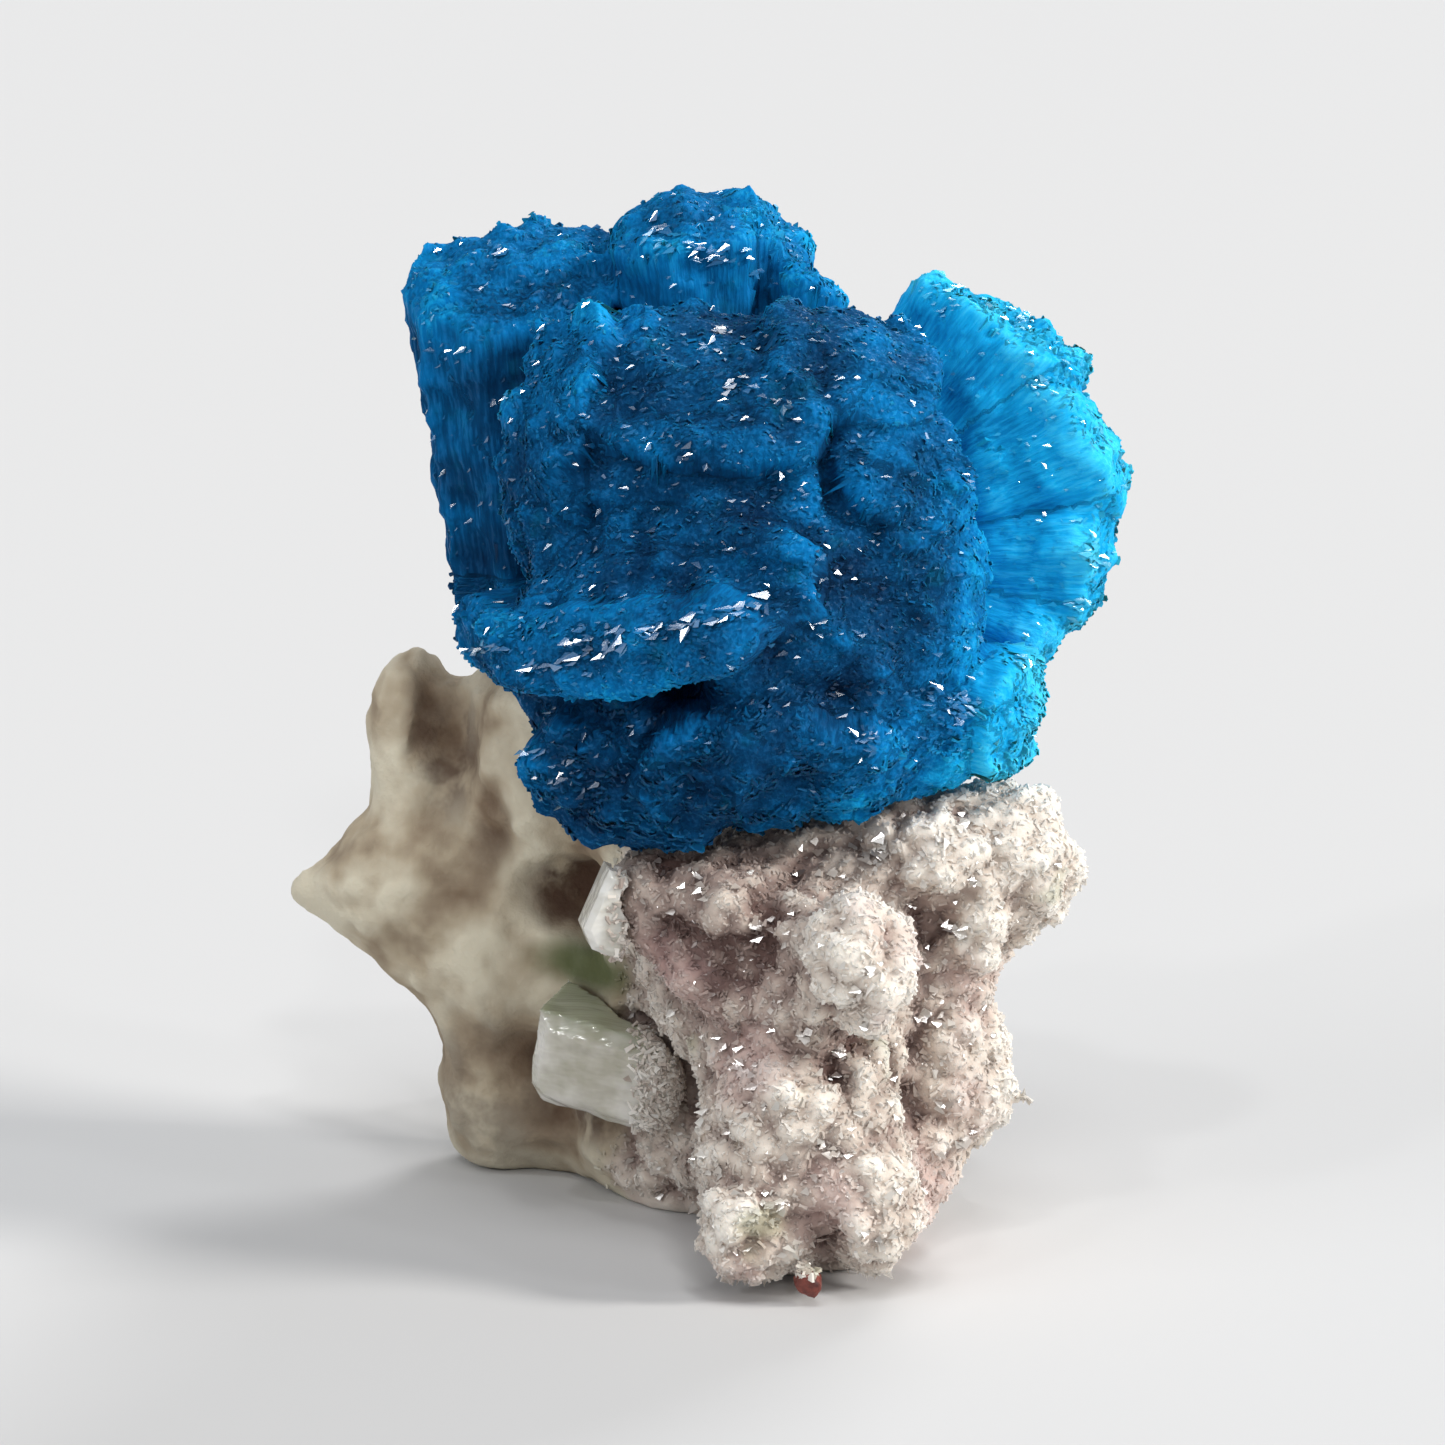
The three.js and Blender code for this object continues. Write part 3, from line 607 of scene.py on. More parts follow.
# clusters of plates: their middle, across and up in millimetres as seen from the front, how far they spread,
# and how many plates they have
DRUSE_CLUSTERS = (
    (3.45, 7.65, 0.16, 10), (3.2, 7.4, 0.15, 5), (2.45, 7.2, 0.1, 3), (1.9, 4.1, 0.10, 4),
    (2.55, 3.8, 0.18, 9), (0.6, 3.5, 0.2, 9), (0.9, 3.3, 0.12, 4), (5.3, 7.15, 0.12, 4),
    (5.0, 8.1, 0.14, 5), (1.6, -0.1, 0.2, 6), (1.4, 0.9, 0.16, 7), (0.95, 6.2, 0.2, 6),
    (-0.1, 7.0, 0.2, 4), (5.0, 6.1, 0.22, 8), (4.6, 2.6, 0.15, 4), (5.2, 1.9, 0.15, 4),
    (3.0, 5.3, 0.6, 12), (2.6, 1.6, 0.5, 8), (0.2, 1.5, 0.6, 10), (4.4, 4.6, 0.4, 6),
)


def lamp_face(azimuth, elevation):
    """The direction of a far lamp: azimuth 0 is in front of the specimen, 90 at its right."""
    turn, rise = math.radians(azimuth), math.radians(elevation)
    return np.array([math.sin(turn) * math.cos(rise), -math.cos(turn) * math.cos(rise), math.sin(rise)])


def shown_at(piece, across, up):
    """What shows there from the front: the place on a piece, the skin's direction and a corner, or None."""
    upright = np.array([0, math.sin(VIEW_RISE), math.cos(VIEW_RISE)])
    start = np.array([across, 0, 0]) + upright * up + CAMERA_FACE * 50
    found, spot, direction, face = piece.ray_cast(Vector(start), Vector(-CAMERA_FACE))
    if not found:
        return None
    return np.array(spot), np.array(direction), piece.data.polygons[face].vertices[0]


def clustered(clusters):
    """Places across and up, spread round each cluster's middle, and how large the plate at each one is."""
    spots, large = [], []
    for across, up, spread, count in clusters:
        for step in range(count):
            spots.append(np.array([across, up]) + draw.normal(size=2) * spread * 0.6)
            large.append(draw.uniform(0.6, 1.6))
    return spots, large


GLINT_FACES = unit(np.array([lamp_face(*spark) for spark in SPARKS]) + CAMERA_FACE)


def glinting_places(piece, scattered, wanted, large):
    """Where plates lie on a piece in millimetres: these places, and more scattered where it can glint."""
    toward = np.clip((directions(piece) @ GLINT_FACES.T).max(1), 0, 1) ** 6
    found = skin_points(piece, scattered, toward)
    shown = [shown_at(piece, *spot) for spot in wanted]
    large = [size for size, spot in zip(large, shown) if spot]
    shown = zip(*[spot for spot in shown if spot])
    where, facing, nearest = (np.concatenate(both) for both in zip(found, shown))
    return where, facing, nearest, np.concatenate([draw.uniform(0.35, 1.1, scattered) ** 1.5, large])


def plates(name, where, facing, large, half_widths, lengths, material, numbers):
    """Thin blades with a broad face outward, each turned halfway between the camera and one of the lamps."""
    across = GLINT_FACES[(facing @ GLINT_FACES.T).argmax(1)]
    across = unit(across + PLATE_STRAY * draw.normal(size=where.shape))
    slope = PLATE_RISE[0] - PLATE_RISE[1] * where[:, 0]
    along = np.stack([np.ones(len(where)), np.zeros(len(where)), slope], 1)
    along += 0.35 * draw.normal(size=where.shape)
    along = unit(along - (along * across).sum(1)[:, None] * across)
    wide = np.cross(across, along)
    size = np.stack([
        draw.uniform(*half_widths, len(where)) * large, np.full(len(where), HALF_DEPTH),
        draw.uniform(*lengths, len(where)) * large, draw.uniform(0.03, 0.08, len(where)) * large], 1)
    tips = where + along * size[:, 2:3] * 0.5 + facing * (0.015 + 0.03 * large)[:, None]
    return bladed(name, tips * MM, along, wide, size * MM, leaning(len(where)), facing, material, numbers)


glassy = crystal_material("zeolite_plates", stone_group, 0.9, **CLEAR_ZEOLITE, **GLINTING)
scaled(matrix, 1 / MM)
bpy.context.view_layer.update()
wanted, large = clustered(DRUSE_CLUSTERS)
where, facing, nearest, large = glinting_places(matrix, DRUSE_SCATTERED, wanted, large)
scaled(matrix, MM)
kept = (where[:, 2] > DRUSE_FROM) & (druse_share[nearest] > PLATE_DRUSE)
where, facing, nearest, large = where[kept], facing[kept], nearest[kept], large[kept]
druse_plates = plates(
    "zeolite_plates", where + facing * 0.05, facing, large, (0.05, 0.09), (0.12, 0.24), glassy,
    numbers_at(nearest, 0.5))
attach(druse_plates, "root")
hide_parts("zeolite_matrix")

# The rosette's heart
# The inside of the blue rosette, where the blades of its fans are one mass. The blades' ends stand out of it.

HEART_CELL = 0.105
HEART_ROUNDS = 8  # rounds of smoothing
HEART_DRAWN_IN = 0.02
LOBE, LOBE_HEIGHT = 1.1, 0.40  # from one lobe of a fan's cap to the next, and how far it stands out
CLUMP, CLUMP_HEIGHT = 0.4, 0.14
SHEAF, SHEAF_HEIGHT = 0.8, 0.9  # the uneven sheaves of the hidden side
HIDDEN = (3.2, 4.4)  # the hidden side comes in from the first to the second, toward the back
LIE_STRETCH = 0.12  # streaks are this much finer across the blades than along them
STREAK = 0.09
SIDE_SHADE = 0.13  # painted shade: how much darker a fan is painted, for each millimetre below its cap
# the ledge runs out into the slope beside it, and its underside into the skirt below: where, and how large
LEDGE_ENDS = (((1.2, -5.9, 12.6), (1.5, 1.3, 1.2)), ((0.9, -4.0, 11.5), (1.3, 1.8, 0.9)))
LEDGE_END_ROUNDS = 180
OPEN_ROUNDS = 230  # rounds of smoothing that even the form out
OPEN_SPAN = 0.3  # painted light and shade: a place this far out of the smoothed form is painted as lit through, and one this far in as dark in shade
# painted light: the glow painted at the middle of the relief, and how much more is painted on the crests and
# less in the creases
INNER_GLOW, OPEN_GLOW = 0.18, 0.40
LIGHT_REACH = 0.5  # the painted light runs this far from one fan into the next
MIDDLE = np.array([-0.02, 0.55, 0.0])  # the specimen's middle in the numbers of the table below
CORNER_PULL = 0.42  # a cap is a rounded oblong
CAP_DOME = 0.35  # how far its long sides fall back, as a share of its thickness
BLADE_ENDS = 0.15  # how far the blades' ends stand out of it
PAST_CAP = 0.5  # a place this far past the cap still belongs to it
ROOT_END = 0.2  # below this share of its length a fan lies inside the heart
FAR = 9.0
DEEPEST = 4

# each fan's root, its tip, half of its cap's long side, its half thickness, how far its cap's ends fall back,
# its root's share of its size, how much light is painted on it, and how big its blades are
FANS = {
    "left_back": ((-3.15, 3.1, 11.8), (-3.95, 2.4, 19.6), (-2.05, -0.2, -0.35), 1.5, 0.3, 0.9, 0.4, 0.9),
    "crown": ((0.2, 2.0, 12.6), (-0.5, 2.4, 20.7), (-1.5, 0, -0.3), 1.5, 0.5, 0.42, 0.5, 1.0),
    "crown_right": ((0.6, 2.0, 12.6), (1.2, 2.8, 20.5), (1.0, 0, -0.4), 1.1, 0.3, 0.42, 0.5, 1.0),
    "crown_lobe": ((1.1, 2.0, 12.6), (2.1, 2.0, 19.3), (0.7, 0, -0.4), 0.9, 0.2, 0.42, 0.6, 1.0),
    "behind_crown": ((-0.6, 2.6, 12.6), (-2.1, 3.6, 19.3), (-1.4, 0.5, 0.1), 1.2, 0.4, 0.42, 0.55, 1.0),
    "left_middle": ((-0.6, 0.8, 14.2), (-3.4, -1.9, 16.9), (0.4, 0.5, 2.8), 1.1, 1.2, 0.8, 0.5, 1.0),
    "left_inner": ((-0.4, 1.6, 13.2), (-3.5, 0.5, 15.8), (0.2, 1.1, 2.1), 1.1, 0.6, 0.42, 0.3, 1.0),
    "left_upper": ((-0.8, 1.2, 13.8), (-2.5, -0.7, 18.3), (-1.3, 0.1, -0.8), 1.4, 0.3, 0.9, 0.45, 1.0),
    "upper_middle": ((0.0, 1.0, 14.2), (-0.5, -1.6, 18.2), (-2.6, 0, -0.2), 1.9, 0.4, 0.9, 0.08, 1.0),
    "centre_top": ((0.4, 0.0, 14.6), (0.3, -2.9, 17.3), (-2.0, 0.3, -0.1), 1.0, 0.5, 0.9, 0.2, 0.9),
    "upper_right": ((1.4, 0.8, 14.4), (3.0, -1.2, 18.4), (1.7, 0.3, -0.5), 1.8, 0.3, 0.9, 0.2, 0.95),
    "right_first": ((1.9, 1.6, 13.5), (6.2, 1.9, 18.5), (1.7, 0, -1.0), 1.2, 0.4, 0.42, 1.08, 1.1),
    "right_second": ((1.9, 1.6, 13.5), (7.9, 1.5, 16.3), (0.8, 0, -1.5), 1.3, 0.4, 0.42, 1.08, 1.1),
    "right_third": ((1.9, 1.6, 13.5), (8.0, 1.3, 13.7), (-0.1, 0, -1.4), 1.3, 0.4, 0.42, 1.08, 1.1),
    "right_fourth": ((1.9, 1.6, 13.5), (6.9, 1.2, 11.7), (-0.8, 0, -1.2), 1.3, 0.4, 0.42, 1.08, 1.1),
    "right_behind": ((1.8, 2.0, 13.4), (6.0, 3.6, 16.2), (0.9, 0.3, -1.8), 1.1, 0.6, 0.42, 0.8, 1.05),
    "inner_first": ((2.2, 0.6, 14.2), (3.9, -2.3, 16.4), (1.3, 0.3, -0.6), 1.4, 0.3, 0.9, 0.45, 0.9),
    "inner_second": ((1.8, 0.8, 13.8), (4.8, -2.1, 14.6), (0.4, 0.2, -1.6), 1.3, 0.3, 0.8, 0.55, 0.9),
    "inner_third": ((1.8, 0.8, 13.4), (5.0, -2.2, 12.7), (0.1, 0.1, -1.3), 1.2, 0.3, 0.8, 0.6, 0.9),
    "lower_right": ((1.8, 0.6, 12.1), (6.4, -1.5, 10.8), (-0.3, 0.1, -1.2), 1.4, 0.4, 0.42, 1.5, 1.1),
    "front_left": ((0.2, 0.4, 14.4), (-0.1, -2.9, 15.8), (-2.2, 0.3, 0.1), 1.3, 0.3, 0.9, 0.0, 0.8),
    "front_slope": ((0.6, 0.8, 12.2), (-0.9, -3.6, 14.1), (-2.8, 1.1, -0.4), 1.3, 0.4, 0.9, 0.4, 0.95),
    "front_right": ((1.8, 0.6, 13.6), (2.7, -3.0, 14.6), (1.9, 0.5, -0.2), 1.7, 0.4, 0.9, 0.05, 0.8),
    "front_low": ((1.6, 0.6, 12.8), (2.4, -3.5, 12.3), (2.2, 0.7, -0.4), 1.6, 0.5, 0.9, 0.05, 0.9),
    "ledge": ((1.4, 0.4, 13.9), (-1.9, -4.6, 12.8), (-2.8, 1.6, -0.4), 0.8, 0.4, 0.42, 0.35, 1.0),
    "ledge_tip": ((0.4, 0.8, 12.9), (-4.5, -2.1, 12.5), (-0.7, 1.4, 0.1), 0.8, 0.25, 0.42, 0.4, 1.05),
    "left_notch": ((0.2, 0.6, 12.2), (-2.7, -2.8, 11.1), (-1.2, 1.1, 0.1), 1.1, 0.2, 0.9, 0.1, 1.15),
    "bottom_left": ((0.2, 0.6, 12.0), (-1.8, -3.5, 9.65), (-2.0, 0.3, 0.5), 1.3, 0.3, 0.8, 0.05, 1.3),
    "bottom_middle": ((1.2, 0.6, 12.2), (1.2, -3.7, 9.9), (2.5, 0.4, 0.2), 1.5, 0.3, 0.8, 0.0, 1.2),
    "bottom_right": ((1.4, 0.6, 12.5), (4.2, -2.6, 10.0), (1.6, 0.8, 0.4), 1.2, 0.3, 0.42, 0.8, 1.1),
    "back_left": ((0.2, 1.8, 12.8), (-4.2, 5.2, 14.6), (-0.8, -1.1, 1.6), 1.4, 0.4, 0.42, 0.4, 1.1),
    "back_high": ((1.0, 2.0, 13.4), (1.2, 6.2, 17.2), (2.4, 0.2, -0.3), 1.5, 0.4, 0.42, 0.5, 1.1),
    "back_low": ((1.0, 2.0, 13.0), (0.6, 6.8, 13.2), (-2.6, -0.4, 0.3), 1.7, 0.4, 0.42, 0.3, 1.1),
    "back_right": ((1.6, 2.0, 13.2), (5.2, 5.2, 14.6), (-0.8, 0.9, 1.9), 1.4, 0.4, 0.42, 0.4, 1.1),
    "back_under": ((1.8, 1.6, 12.4), (3.6, 5.0, 10.6), (2.0, -1.3, 0.6), 1.3, 0.4, 0.42, 0.2, 1.1),
}


def fan_places(where):
    """What the nearest fan gives for places in millimetres: the way that blades grow, the fan's long side,
    the place across, through and along it, the light painted on it, its blades' bigness, its number, and the
    depth below its cap. The painted light and the depth run from each fan into the next."""
    where = where + MIDDLE
    count = len(where)
    best = np.full(count, np.inf)
    grows = sideways = lie = np.zeros((count, 3))
    fan_light, size, fan, below = np.zeros(count), np.ones(count), np.zeros(count), np.zeros(count)
    shares = np.full(count, 1e-9)
    for number, (*rows, thick, bow, root_size, fan_lighting, bigness) in enumerate(FANS.values()):
        root, tip, half = np.array(rows)
        reach = np.linalg.norm(tip - root)
        along = (tip - root) / reach
        thin = np.cross(along, half)
        thin *= thick / np.linalg.norm(thin)
        step = (where - root) @ along / reach
        spread = root_size + (1 - root_size) * np.clip(step, 0, 1.1)
        aside = where - (root + np.outer(step, tip - root))
        u = aside @ half / (half @ half) / spread
        v = aside @ thin / (thin @ thin) / spread
        out = np.sqrt(u ** 2 + v ** 2 * (1 - CORNER_PULL * np.minimum(u ** 2, 1)))
        beside = np.abs(out - 1) * spread * thick
        ahead = np.abs((step - 1) * reach + bow * u ** 2 + CAP_DOME * thick * v ** 2 - BLADE_ENDS)
        past_cap = np.hypot(beside, np.maximum(ahead - PAST_CAP, 0) * (step > 1))
        miss = np.where(out < 1, np.minimum(beside, ahead), past_cap)
        miss = np.where(step < ROOT_END, FAR, miss)
        nearer = miss < best
        best = np.where(nearer, miss, best)
        start = root + np.outer(u * root_size, half) + np.outer(v * root_size, thin)
        long_side = np.linalg.norm(half)
        grows = np.where(nearer[:, None], unit(where - start), grows)
        sideways = np.where(nearer[:, None], half / long_side, sideways)
        here = np.stack([u * long_side, v * thick, step * reach], 1)
        lie = np.where(nearer[:, None], here, lie)
        share = np.exp(-miss / LIGHT_REACH)
        fan_light += share * fan_lighting
        below += share * np.clip((1 - step) * reach, 0, DEEPEST)
        shares += share
        size = np.where(nearer, bigness, size)
        fan = np.where(nearer, number, fan)
    return grows, sideways, lie, fan_light / shares, size, fan, below / shares


rosette_skin = copy_of_node("cavansite_rosette", "skin_only")
modified(rosette_skin, "REMESH", mode="VOXEL", voxel_size=HEART_CELL, use_smooth_shade=True)
without_crumbs(rosette_skin)
smoothed(rosette_skin, HEART_ROUNDS)
ledge_end = np.max([within(places(rosette_skin), *end) for end in LEDGE_ENDS], axis=0)
weighted(rosette_skin, "ledge_end", ledge_end)
smoothed(rosette_skin, LEDGE_END_ROUNDS, "ledge_end")
weighted(rosette_skin, "hidden", soft_step(places(rosette_skin)[:, 1], *HIDDEN))
patterned(rosette_skin, "lobes", "CLOUDS", LOBE, LOBE_HEIGHT, 0.45)
patterned(rosette_skin, "clumps", "CLOUDS", CLUMP, CLUMP_HEIGHT, 0.45)
patterned(rosette_skin, "sheaves", "CLOUDS", SHEAF, SHEAF_HEIGHT, weight="hidden")
openness = openness_of(rosette_skin, OPEN_ROUNDS, OPEN_SPAN)
heart = placed("cavansite_heart", rosette_skin.data.copy())
move_corners(heart, places(heart) - directions(heart) * HEART_DRAWN_IN)
_, _, lie, fan_light, _, _, below = fan_places(places(heart))
keep(heart, "lie", lie * (1, 1, LIE_STRETCH))


def glow_at(openness, below, fan_light):
    """Painted light and shade on the rosette's skin: darker in the creases, and darker down the sides of all
    but the fans with much painted light.
    """
    return INNER_GLOW + OPEN_GLOW * openness - SIDE_SHADE * below * (1.2 - fan_light)


# painted light and shade: the heart's colour number, darker in the creases and down the sides, lighter on the
# crests
keep(heart, "tip", glow_at(openness, below, fan_light))
keep(heart, "fan_light", fan_light)
scaled(heart, MM)


def blade_colours():
    """Cavansite's blues: navy where painted shade falls, in the creases and down the fans' sides, azure where
    painted light falls, on the crests, at the blades' tips and on the fans given more painted light.
    """
    group, wanted, given = new_group(
        "cavansite_colours", ("Tip", "Chance", "Fan_light"), {"Colour": "Color", "Roughness": "Float"})
    place = add_node(group, "TexCoord").outputs["Object"]
    cloud = calculate(group, "MULTIPLY_ADD", noise_at(group, place, 1.4, 5.0), 1.0, -0.5)
    # the first number carries the painted light and shade of each place, the last the painted light of its
    # fan; both raise the blue towards azure
    glow = calculate(group, "MULTIPLY_ADD", wanted["Tip"], 0.55, cloud)
    glow = calculate(group, "MULTIPLY_ADD", wanted["Fan_light"], 0.78, glow)
    glow = calculate(group, "MULTIPLY_ADD", wanted["Chance"], 0.20, glow)
    colour = ramp(group, calculate(group, "MULTIPLY", glow, 0.75, limit=True),
                  (0.0, 0.001, 0.016, 0.055), (0.25, 0.001, 0.058, 0.165), (0.5, 0.001, 0.17, 0.45),
                  (0.75, 0.006, 0.40, 0.80), (1.0, 0.05, 0.64, 1.0))
    teal = span(group, noise_at(group, place, 0.9), 0.58, 0.75)
    colour = stained_or_shaded(group, colour, teal, 0.12, (0.0, 0.28, 0.36))
    group.links.new(colour, given["Colour"])
    group.links.new(span(group, wanted["Chance"], 1.4, 0.4), given["Roughness"])
    return group


blade_group = blade_colours()
CAVANSITE = {"IOR": 1.54, "Subsurface_Weight": 0.15, "Subsurface_Scale": 0.3 * MM,
             "Subsurface_Radius": (0.2, 0.6, 1.0)}
mass, tree, shader = new_material("cavansite_mass", **CAVANSITE, Specular_IOR_Level=0.08)
lie_at = add_node(tree, "Attribute", attribute_name="lie").outputs["Vector"]
streak = add_node(tree, "TexNoise", Vector=lie_at, Scale=1 / STREAK, Detail=3.0).outputs["Fac"]
with_colours(tree, shader, blade_group, Chance=span(tree, streak, 0.3, 0.7))
with_bump(tree, shader, streak, 0.04)
heart.data.materials.append(mass)
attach(heart, "root")
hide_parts("cavansite_rosette")

# The rosette's blades
# Each blade of a fan grows straight from the fan's root to its own chisel-shaped tip, which stands out of the
# cap. Neighbours lie parallel in small bundles. On a fan's sides they lie close, as the heart's streaks.

BLADES = 60000  # places tried: a blade stands at those that lie on a cap
BACK_SHARE = 0.6  # the blades stand less close on the hidden side
BUNDLE = (0.55, 0.38)  # a bundle of parallel blades, across and through a fan
PROUD_SHARE = 0.06  # this share of the blades stands clear of the others
BLADE_SIZES = (0.045, 0.09), (0.018, 0.036), (0.5, 1.0), (0.02, 0.06)
BACK_FROM, RIGHT_FROM, UPPER_FROM = 2.0, 2.0, 14.5  # where one piece of blades ends and the next begins


def inside(piece, spots):
    """Whether each place lies inside a piece's skin."""
    found = []
    for spot in spots:
        near, direction = piece.closest_point_on_mesh(Vector(spot))[1:3]
        found.append((Vector(spot) - near).dot(direction) < 0)
    return np.array(found)


front = soft_step(places(rosette_skin)[:, 1], 3.0, 1.5)
where, facing, nearest = skin_points(rosette_skin, BLADES, BACK_SHARE + (1 - BACK_SHARE) * front)
on_cap = soft_step((fan_places(where)[0] * facing).sum(1), 0.3, 0.7)
ends_here = draw.random(len(where)) < on_cap
where, facing, nearest, on_cap = where[ends_here], facing[ends_here], nearest[ends_here], on_cap[ends_here]
grows, sideways, lie, fan_light, bigness, fan, below = fan_places(where)

# each blade's bundle, and how far a bundle leans, is turned, stands out and is lighter than the next
bundle_row = np.floor((lie[:, 1] + 0.12 * np.sin(6 * lie[:, 0] + fan)) / BUNDLE[1])
bundle_place = (lie[:, 0] + 0.15 * np.sin(5 * lie[:, 1] + fan)) / BUNDLE[0]
bundle_place = np.floor(bundle_place + 0.5 * (bundle_row % 2))
names, bundle = np.unique(np.stack([fan, bundle_row, bundle_place]), axis=1, return_inverse=True)
bundle = bundle.ravel()
count = names.shape[1]
bundle_lean = draw.normal(size=(count, 3))[bundle]
bundle_turn = draw.normal(size=count)[bundle]
bundle_out = draw.uniform(-1, 1, count)[bundle]
bundle_light = draw.uniform(-1, 1, count)[bundle]

along = unit(grows + facing * draw.uniform(0.0, 0.06, len(where))[:, None]
             + 0.11 * bundle_lean + 0.09 * draw.normal(size=where.shape))
wide = sideways + 0.6 * bundle_turn[:, None] * np.cross(grows, sideways)
wide += 0.2 * draw.normal(size=where.shape)
grown = draw.uniform(0.6, 1.3, len(where)) * bigness
blade_size = drawn_sizes(BLADE_SIZES, (grown, grown, 0.3 + 0.7 * on_cap, grown))
on_back = soft_step(where[:, 1], *HIDDEN)
proud = draw.random(len(where)) < PROUD_SHARE * bigness ** 2
toothed = soft_step(bigness, 1.0, 1.15)
stand = (0.02 + 0.06 * toothed + 0.08 * on_back) * bundle_out + 0.07 * proud
stand = stand * on_cap + draw.uniform(-0.05, 0.01, len(where))
tips = where + along * stand[:, None]
bpy.context.view_layer.update()
rooted = inside(rosette_skin, tips - along * blade_size[:, 2:3])
# painted light and shade at each blade, as on the heart; the foot is painted a little darker than the tip
tip_glow = glow_at(openness[nearest], below, fan_light)
tip_glow += 0.08 * draw.random(len(where)) + 0.08 * bundle_light + 0.10 * proud
tip_number = np.stack([tip_glow - 0.05, tip_glow], 1)
chance = draw.random(len(where))
lean = leaning(len(where))

cavansite = crystal_material(
    "cavansite_blades", blade_group, 0.88, **CAVANSITE, Specular_IOR_Level=0.08, Coat_Weight=0.2,
    Coat_Roughness=0.15, Coat_IOR=1.5)
back, right, upper = where[:, 1] > BACK_FROM, where[:, 0] > RIGHT_FROM, where[:, 2] > UPPER_FROM
regions = {
    "cavansite_blades_back": back,
    "cavansite_blades_right": ~back & right,
    "cavansite_blades_upper": ~back & ~right & upper,
    "cavansite_blades_lower": ~back & ~right & ~upper,
}
for name, region in regions.items():
    here = region & rooted
    blades = bladed(
        name, tips[here] * MM, along[here], wide[here], blade_size[here] * MM, lean[here], facing[here],
        cavansite, {"tip": tip_number[here], "chance": chance[here], "fan_light": fan_light[here]})
    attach(blades, "root")
    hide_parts("cavansite_rosette")

# The glinting laths
# Small clear blades that lie on the skin with a broad face outward, so that they glint: in rows along the
# ledge's edge, in clusters on the crown and the rims, and singly all over the front.

SCATTERED = 1300
# rows: the places that each one runs through, across and up as seen from the front
ROWS = (
    ((-2.75, 11.75), (-1.9, 11.9), (-0.9, 11.9), (-0.1, 12.05), (0.7, 12.3), (1.2, 12.5)),
    ((-3.5, 11.2), (-2.55, 11.4), (-1.85, 11.6), (-1.1, 11.75)),
    ((-4.8, 11.6), (-4.4, 11.75), (-3.9, 11.6)),
)
ROW_CLOSENESS = 12  # laths in each millimetre of a row
# clusters: their middle, how far they spread, and how many laths they have
CLUSTERS = (
    (-0.9, 19.8, 0.30, 22), (0.05, 19.4, 0.18, 16), (-0.3, 19.5, 0.15, 8), (0.8, 19.3, 0.2, 6),
    (3.5, 18.5, 0.14, 16), (0.3, 17.8, 0.14, 8), (0.1, 17.4, 0.22, 8), (-4.0, 16.6, 0.15, 12),
    (-2.6, 18.4, 0.4, 10), (-4.2, 19.6, 0.15, 8), (-5.2, 17.5, 0.3, 6), (6.3, 18.2, 0.28, 24),
    (4.8, 18.8, 0.35, 14), (6.6, 16.9, 0.30, 14), (7.7, 13.5, 0.25, 20), (7.3, 12.5, 0.25, 12),
    (6.2, 11.3, 0.2, 8), (4.9, 10.5, 0.32, 34), (4.4, 10.8, 0.4, 10), (3.1, 9.8, 0.25, 12),
    (2.5, 10.8, 0.15, 6), (0.5, 16.5, 0.3, 8), (1.5, 16.1, 0.2, 4), (-2.8, 9.1, 0.5, 20),
    (-3.4, 9.6, 0.2, 6), (1.6, 14.8, 0.5, 10), (-1.2, 15.6, 0.5, 10), (-0.4, 15.2, 0.3, 8),
    (2.2, 13.1, 0.3, 5), (1.9, 11.9, 0.3, 5),
)

bpy.context.view_layer.update()
wanted, large = clustered(CLUSTERS)
for row in ROWS:
    for start, end in zip(row, row[1:]):
        start, run = np.array(start), np.subtract(end, start)
        for step in range(max(1, round(ROW_CLOSENESS * float(np.linalg.norm(run))))):
            wanted.append(start + run * draw.random() + draw.normal(size=2) * (0.05, 0.08))
            large.append(draw.uniform(0.8, 2.1))
where, facing, nearest, large = glinting_places(rosette_skin, SCATTERED, wanted, large)
bpy.data.objects.remove(rosette_skin)
*_, fan_light, _, _, below = fan_places(where)
bright = crystal_material(
    "cavansite_laths", blade_group, 0.95, **CAVANSITE, **GLINTING, Specular_IOR_Level=0.1)
# painted light and shade on the laths, as on the skin below them, a little lighter
laths = plates(
    "cavansite_laths", where, facing, large, (0.028, 0.055), (0.10, 0.24), bright,
    {"tip": glow_at(openness[nearest], below, fan_light) + 0.08,
     "chance": draw.uniform(0.3, 1.0, len(where)), "fan_light": fan_light})
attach(laths, "root")
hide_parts("cavansite_rosette")

# The block crystal
# A pale, blocky, milky crystal that grew in the hollow left of the druse, with fine steps along its length.

BLOCK_CELL = 0.07
BLOCK_WORN_ROUNDS = 2
STEP, STEP_HEIGHT = 0.9, 0.12  # from one low step of its faces to the next, and how far they stand out
LAPPED_SIZES = (0.06, 0.11), (0.025, 0.045), (0.15, 0.22), (0.01, 0.03)


def single_crystal(node, material, edge_mm=0):
    """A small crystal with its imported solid's form: worn edges of this width, or none and low steps."""
    crystal = copy_of_node(node, node + "_form")
    if edge_mm:
        modified(crystal, "BEVEL", width=edge_mm, segments=2, limit_method="ANGLE",
                 angle_limit=math.radians(25))
    else:
        modified(crystal, "REMESH", mode="VOXEL", voxel_size=BLOCK_CELL)
        smoothed(crystal, BLOCK_WORN_ROUNDS)
        patterned(crystal, "steps", "VORONOI", STEP, -STEP_HEIGHT, 0.3)
    scaled(crystal, MM)
    crystal.data.materials.append(material)
    only(crystal)
    bpy.ops.object.shade_smooth_by_angle(angle=math.radians(20))
    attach(crystal, "root")
    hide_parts(node)
    return crystal


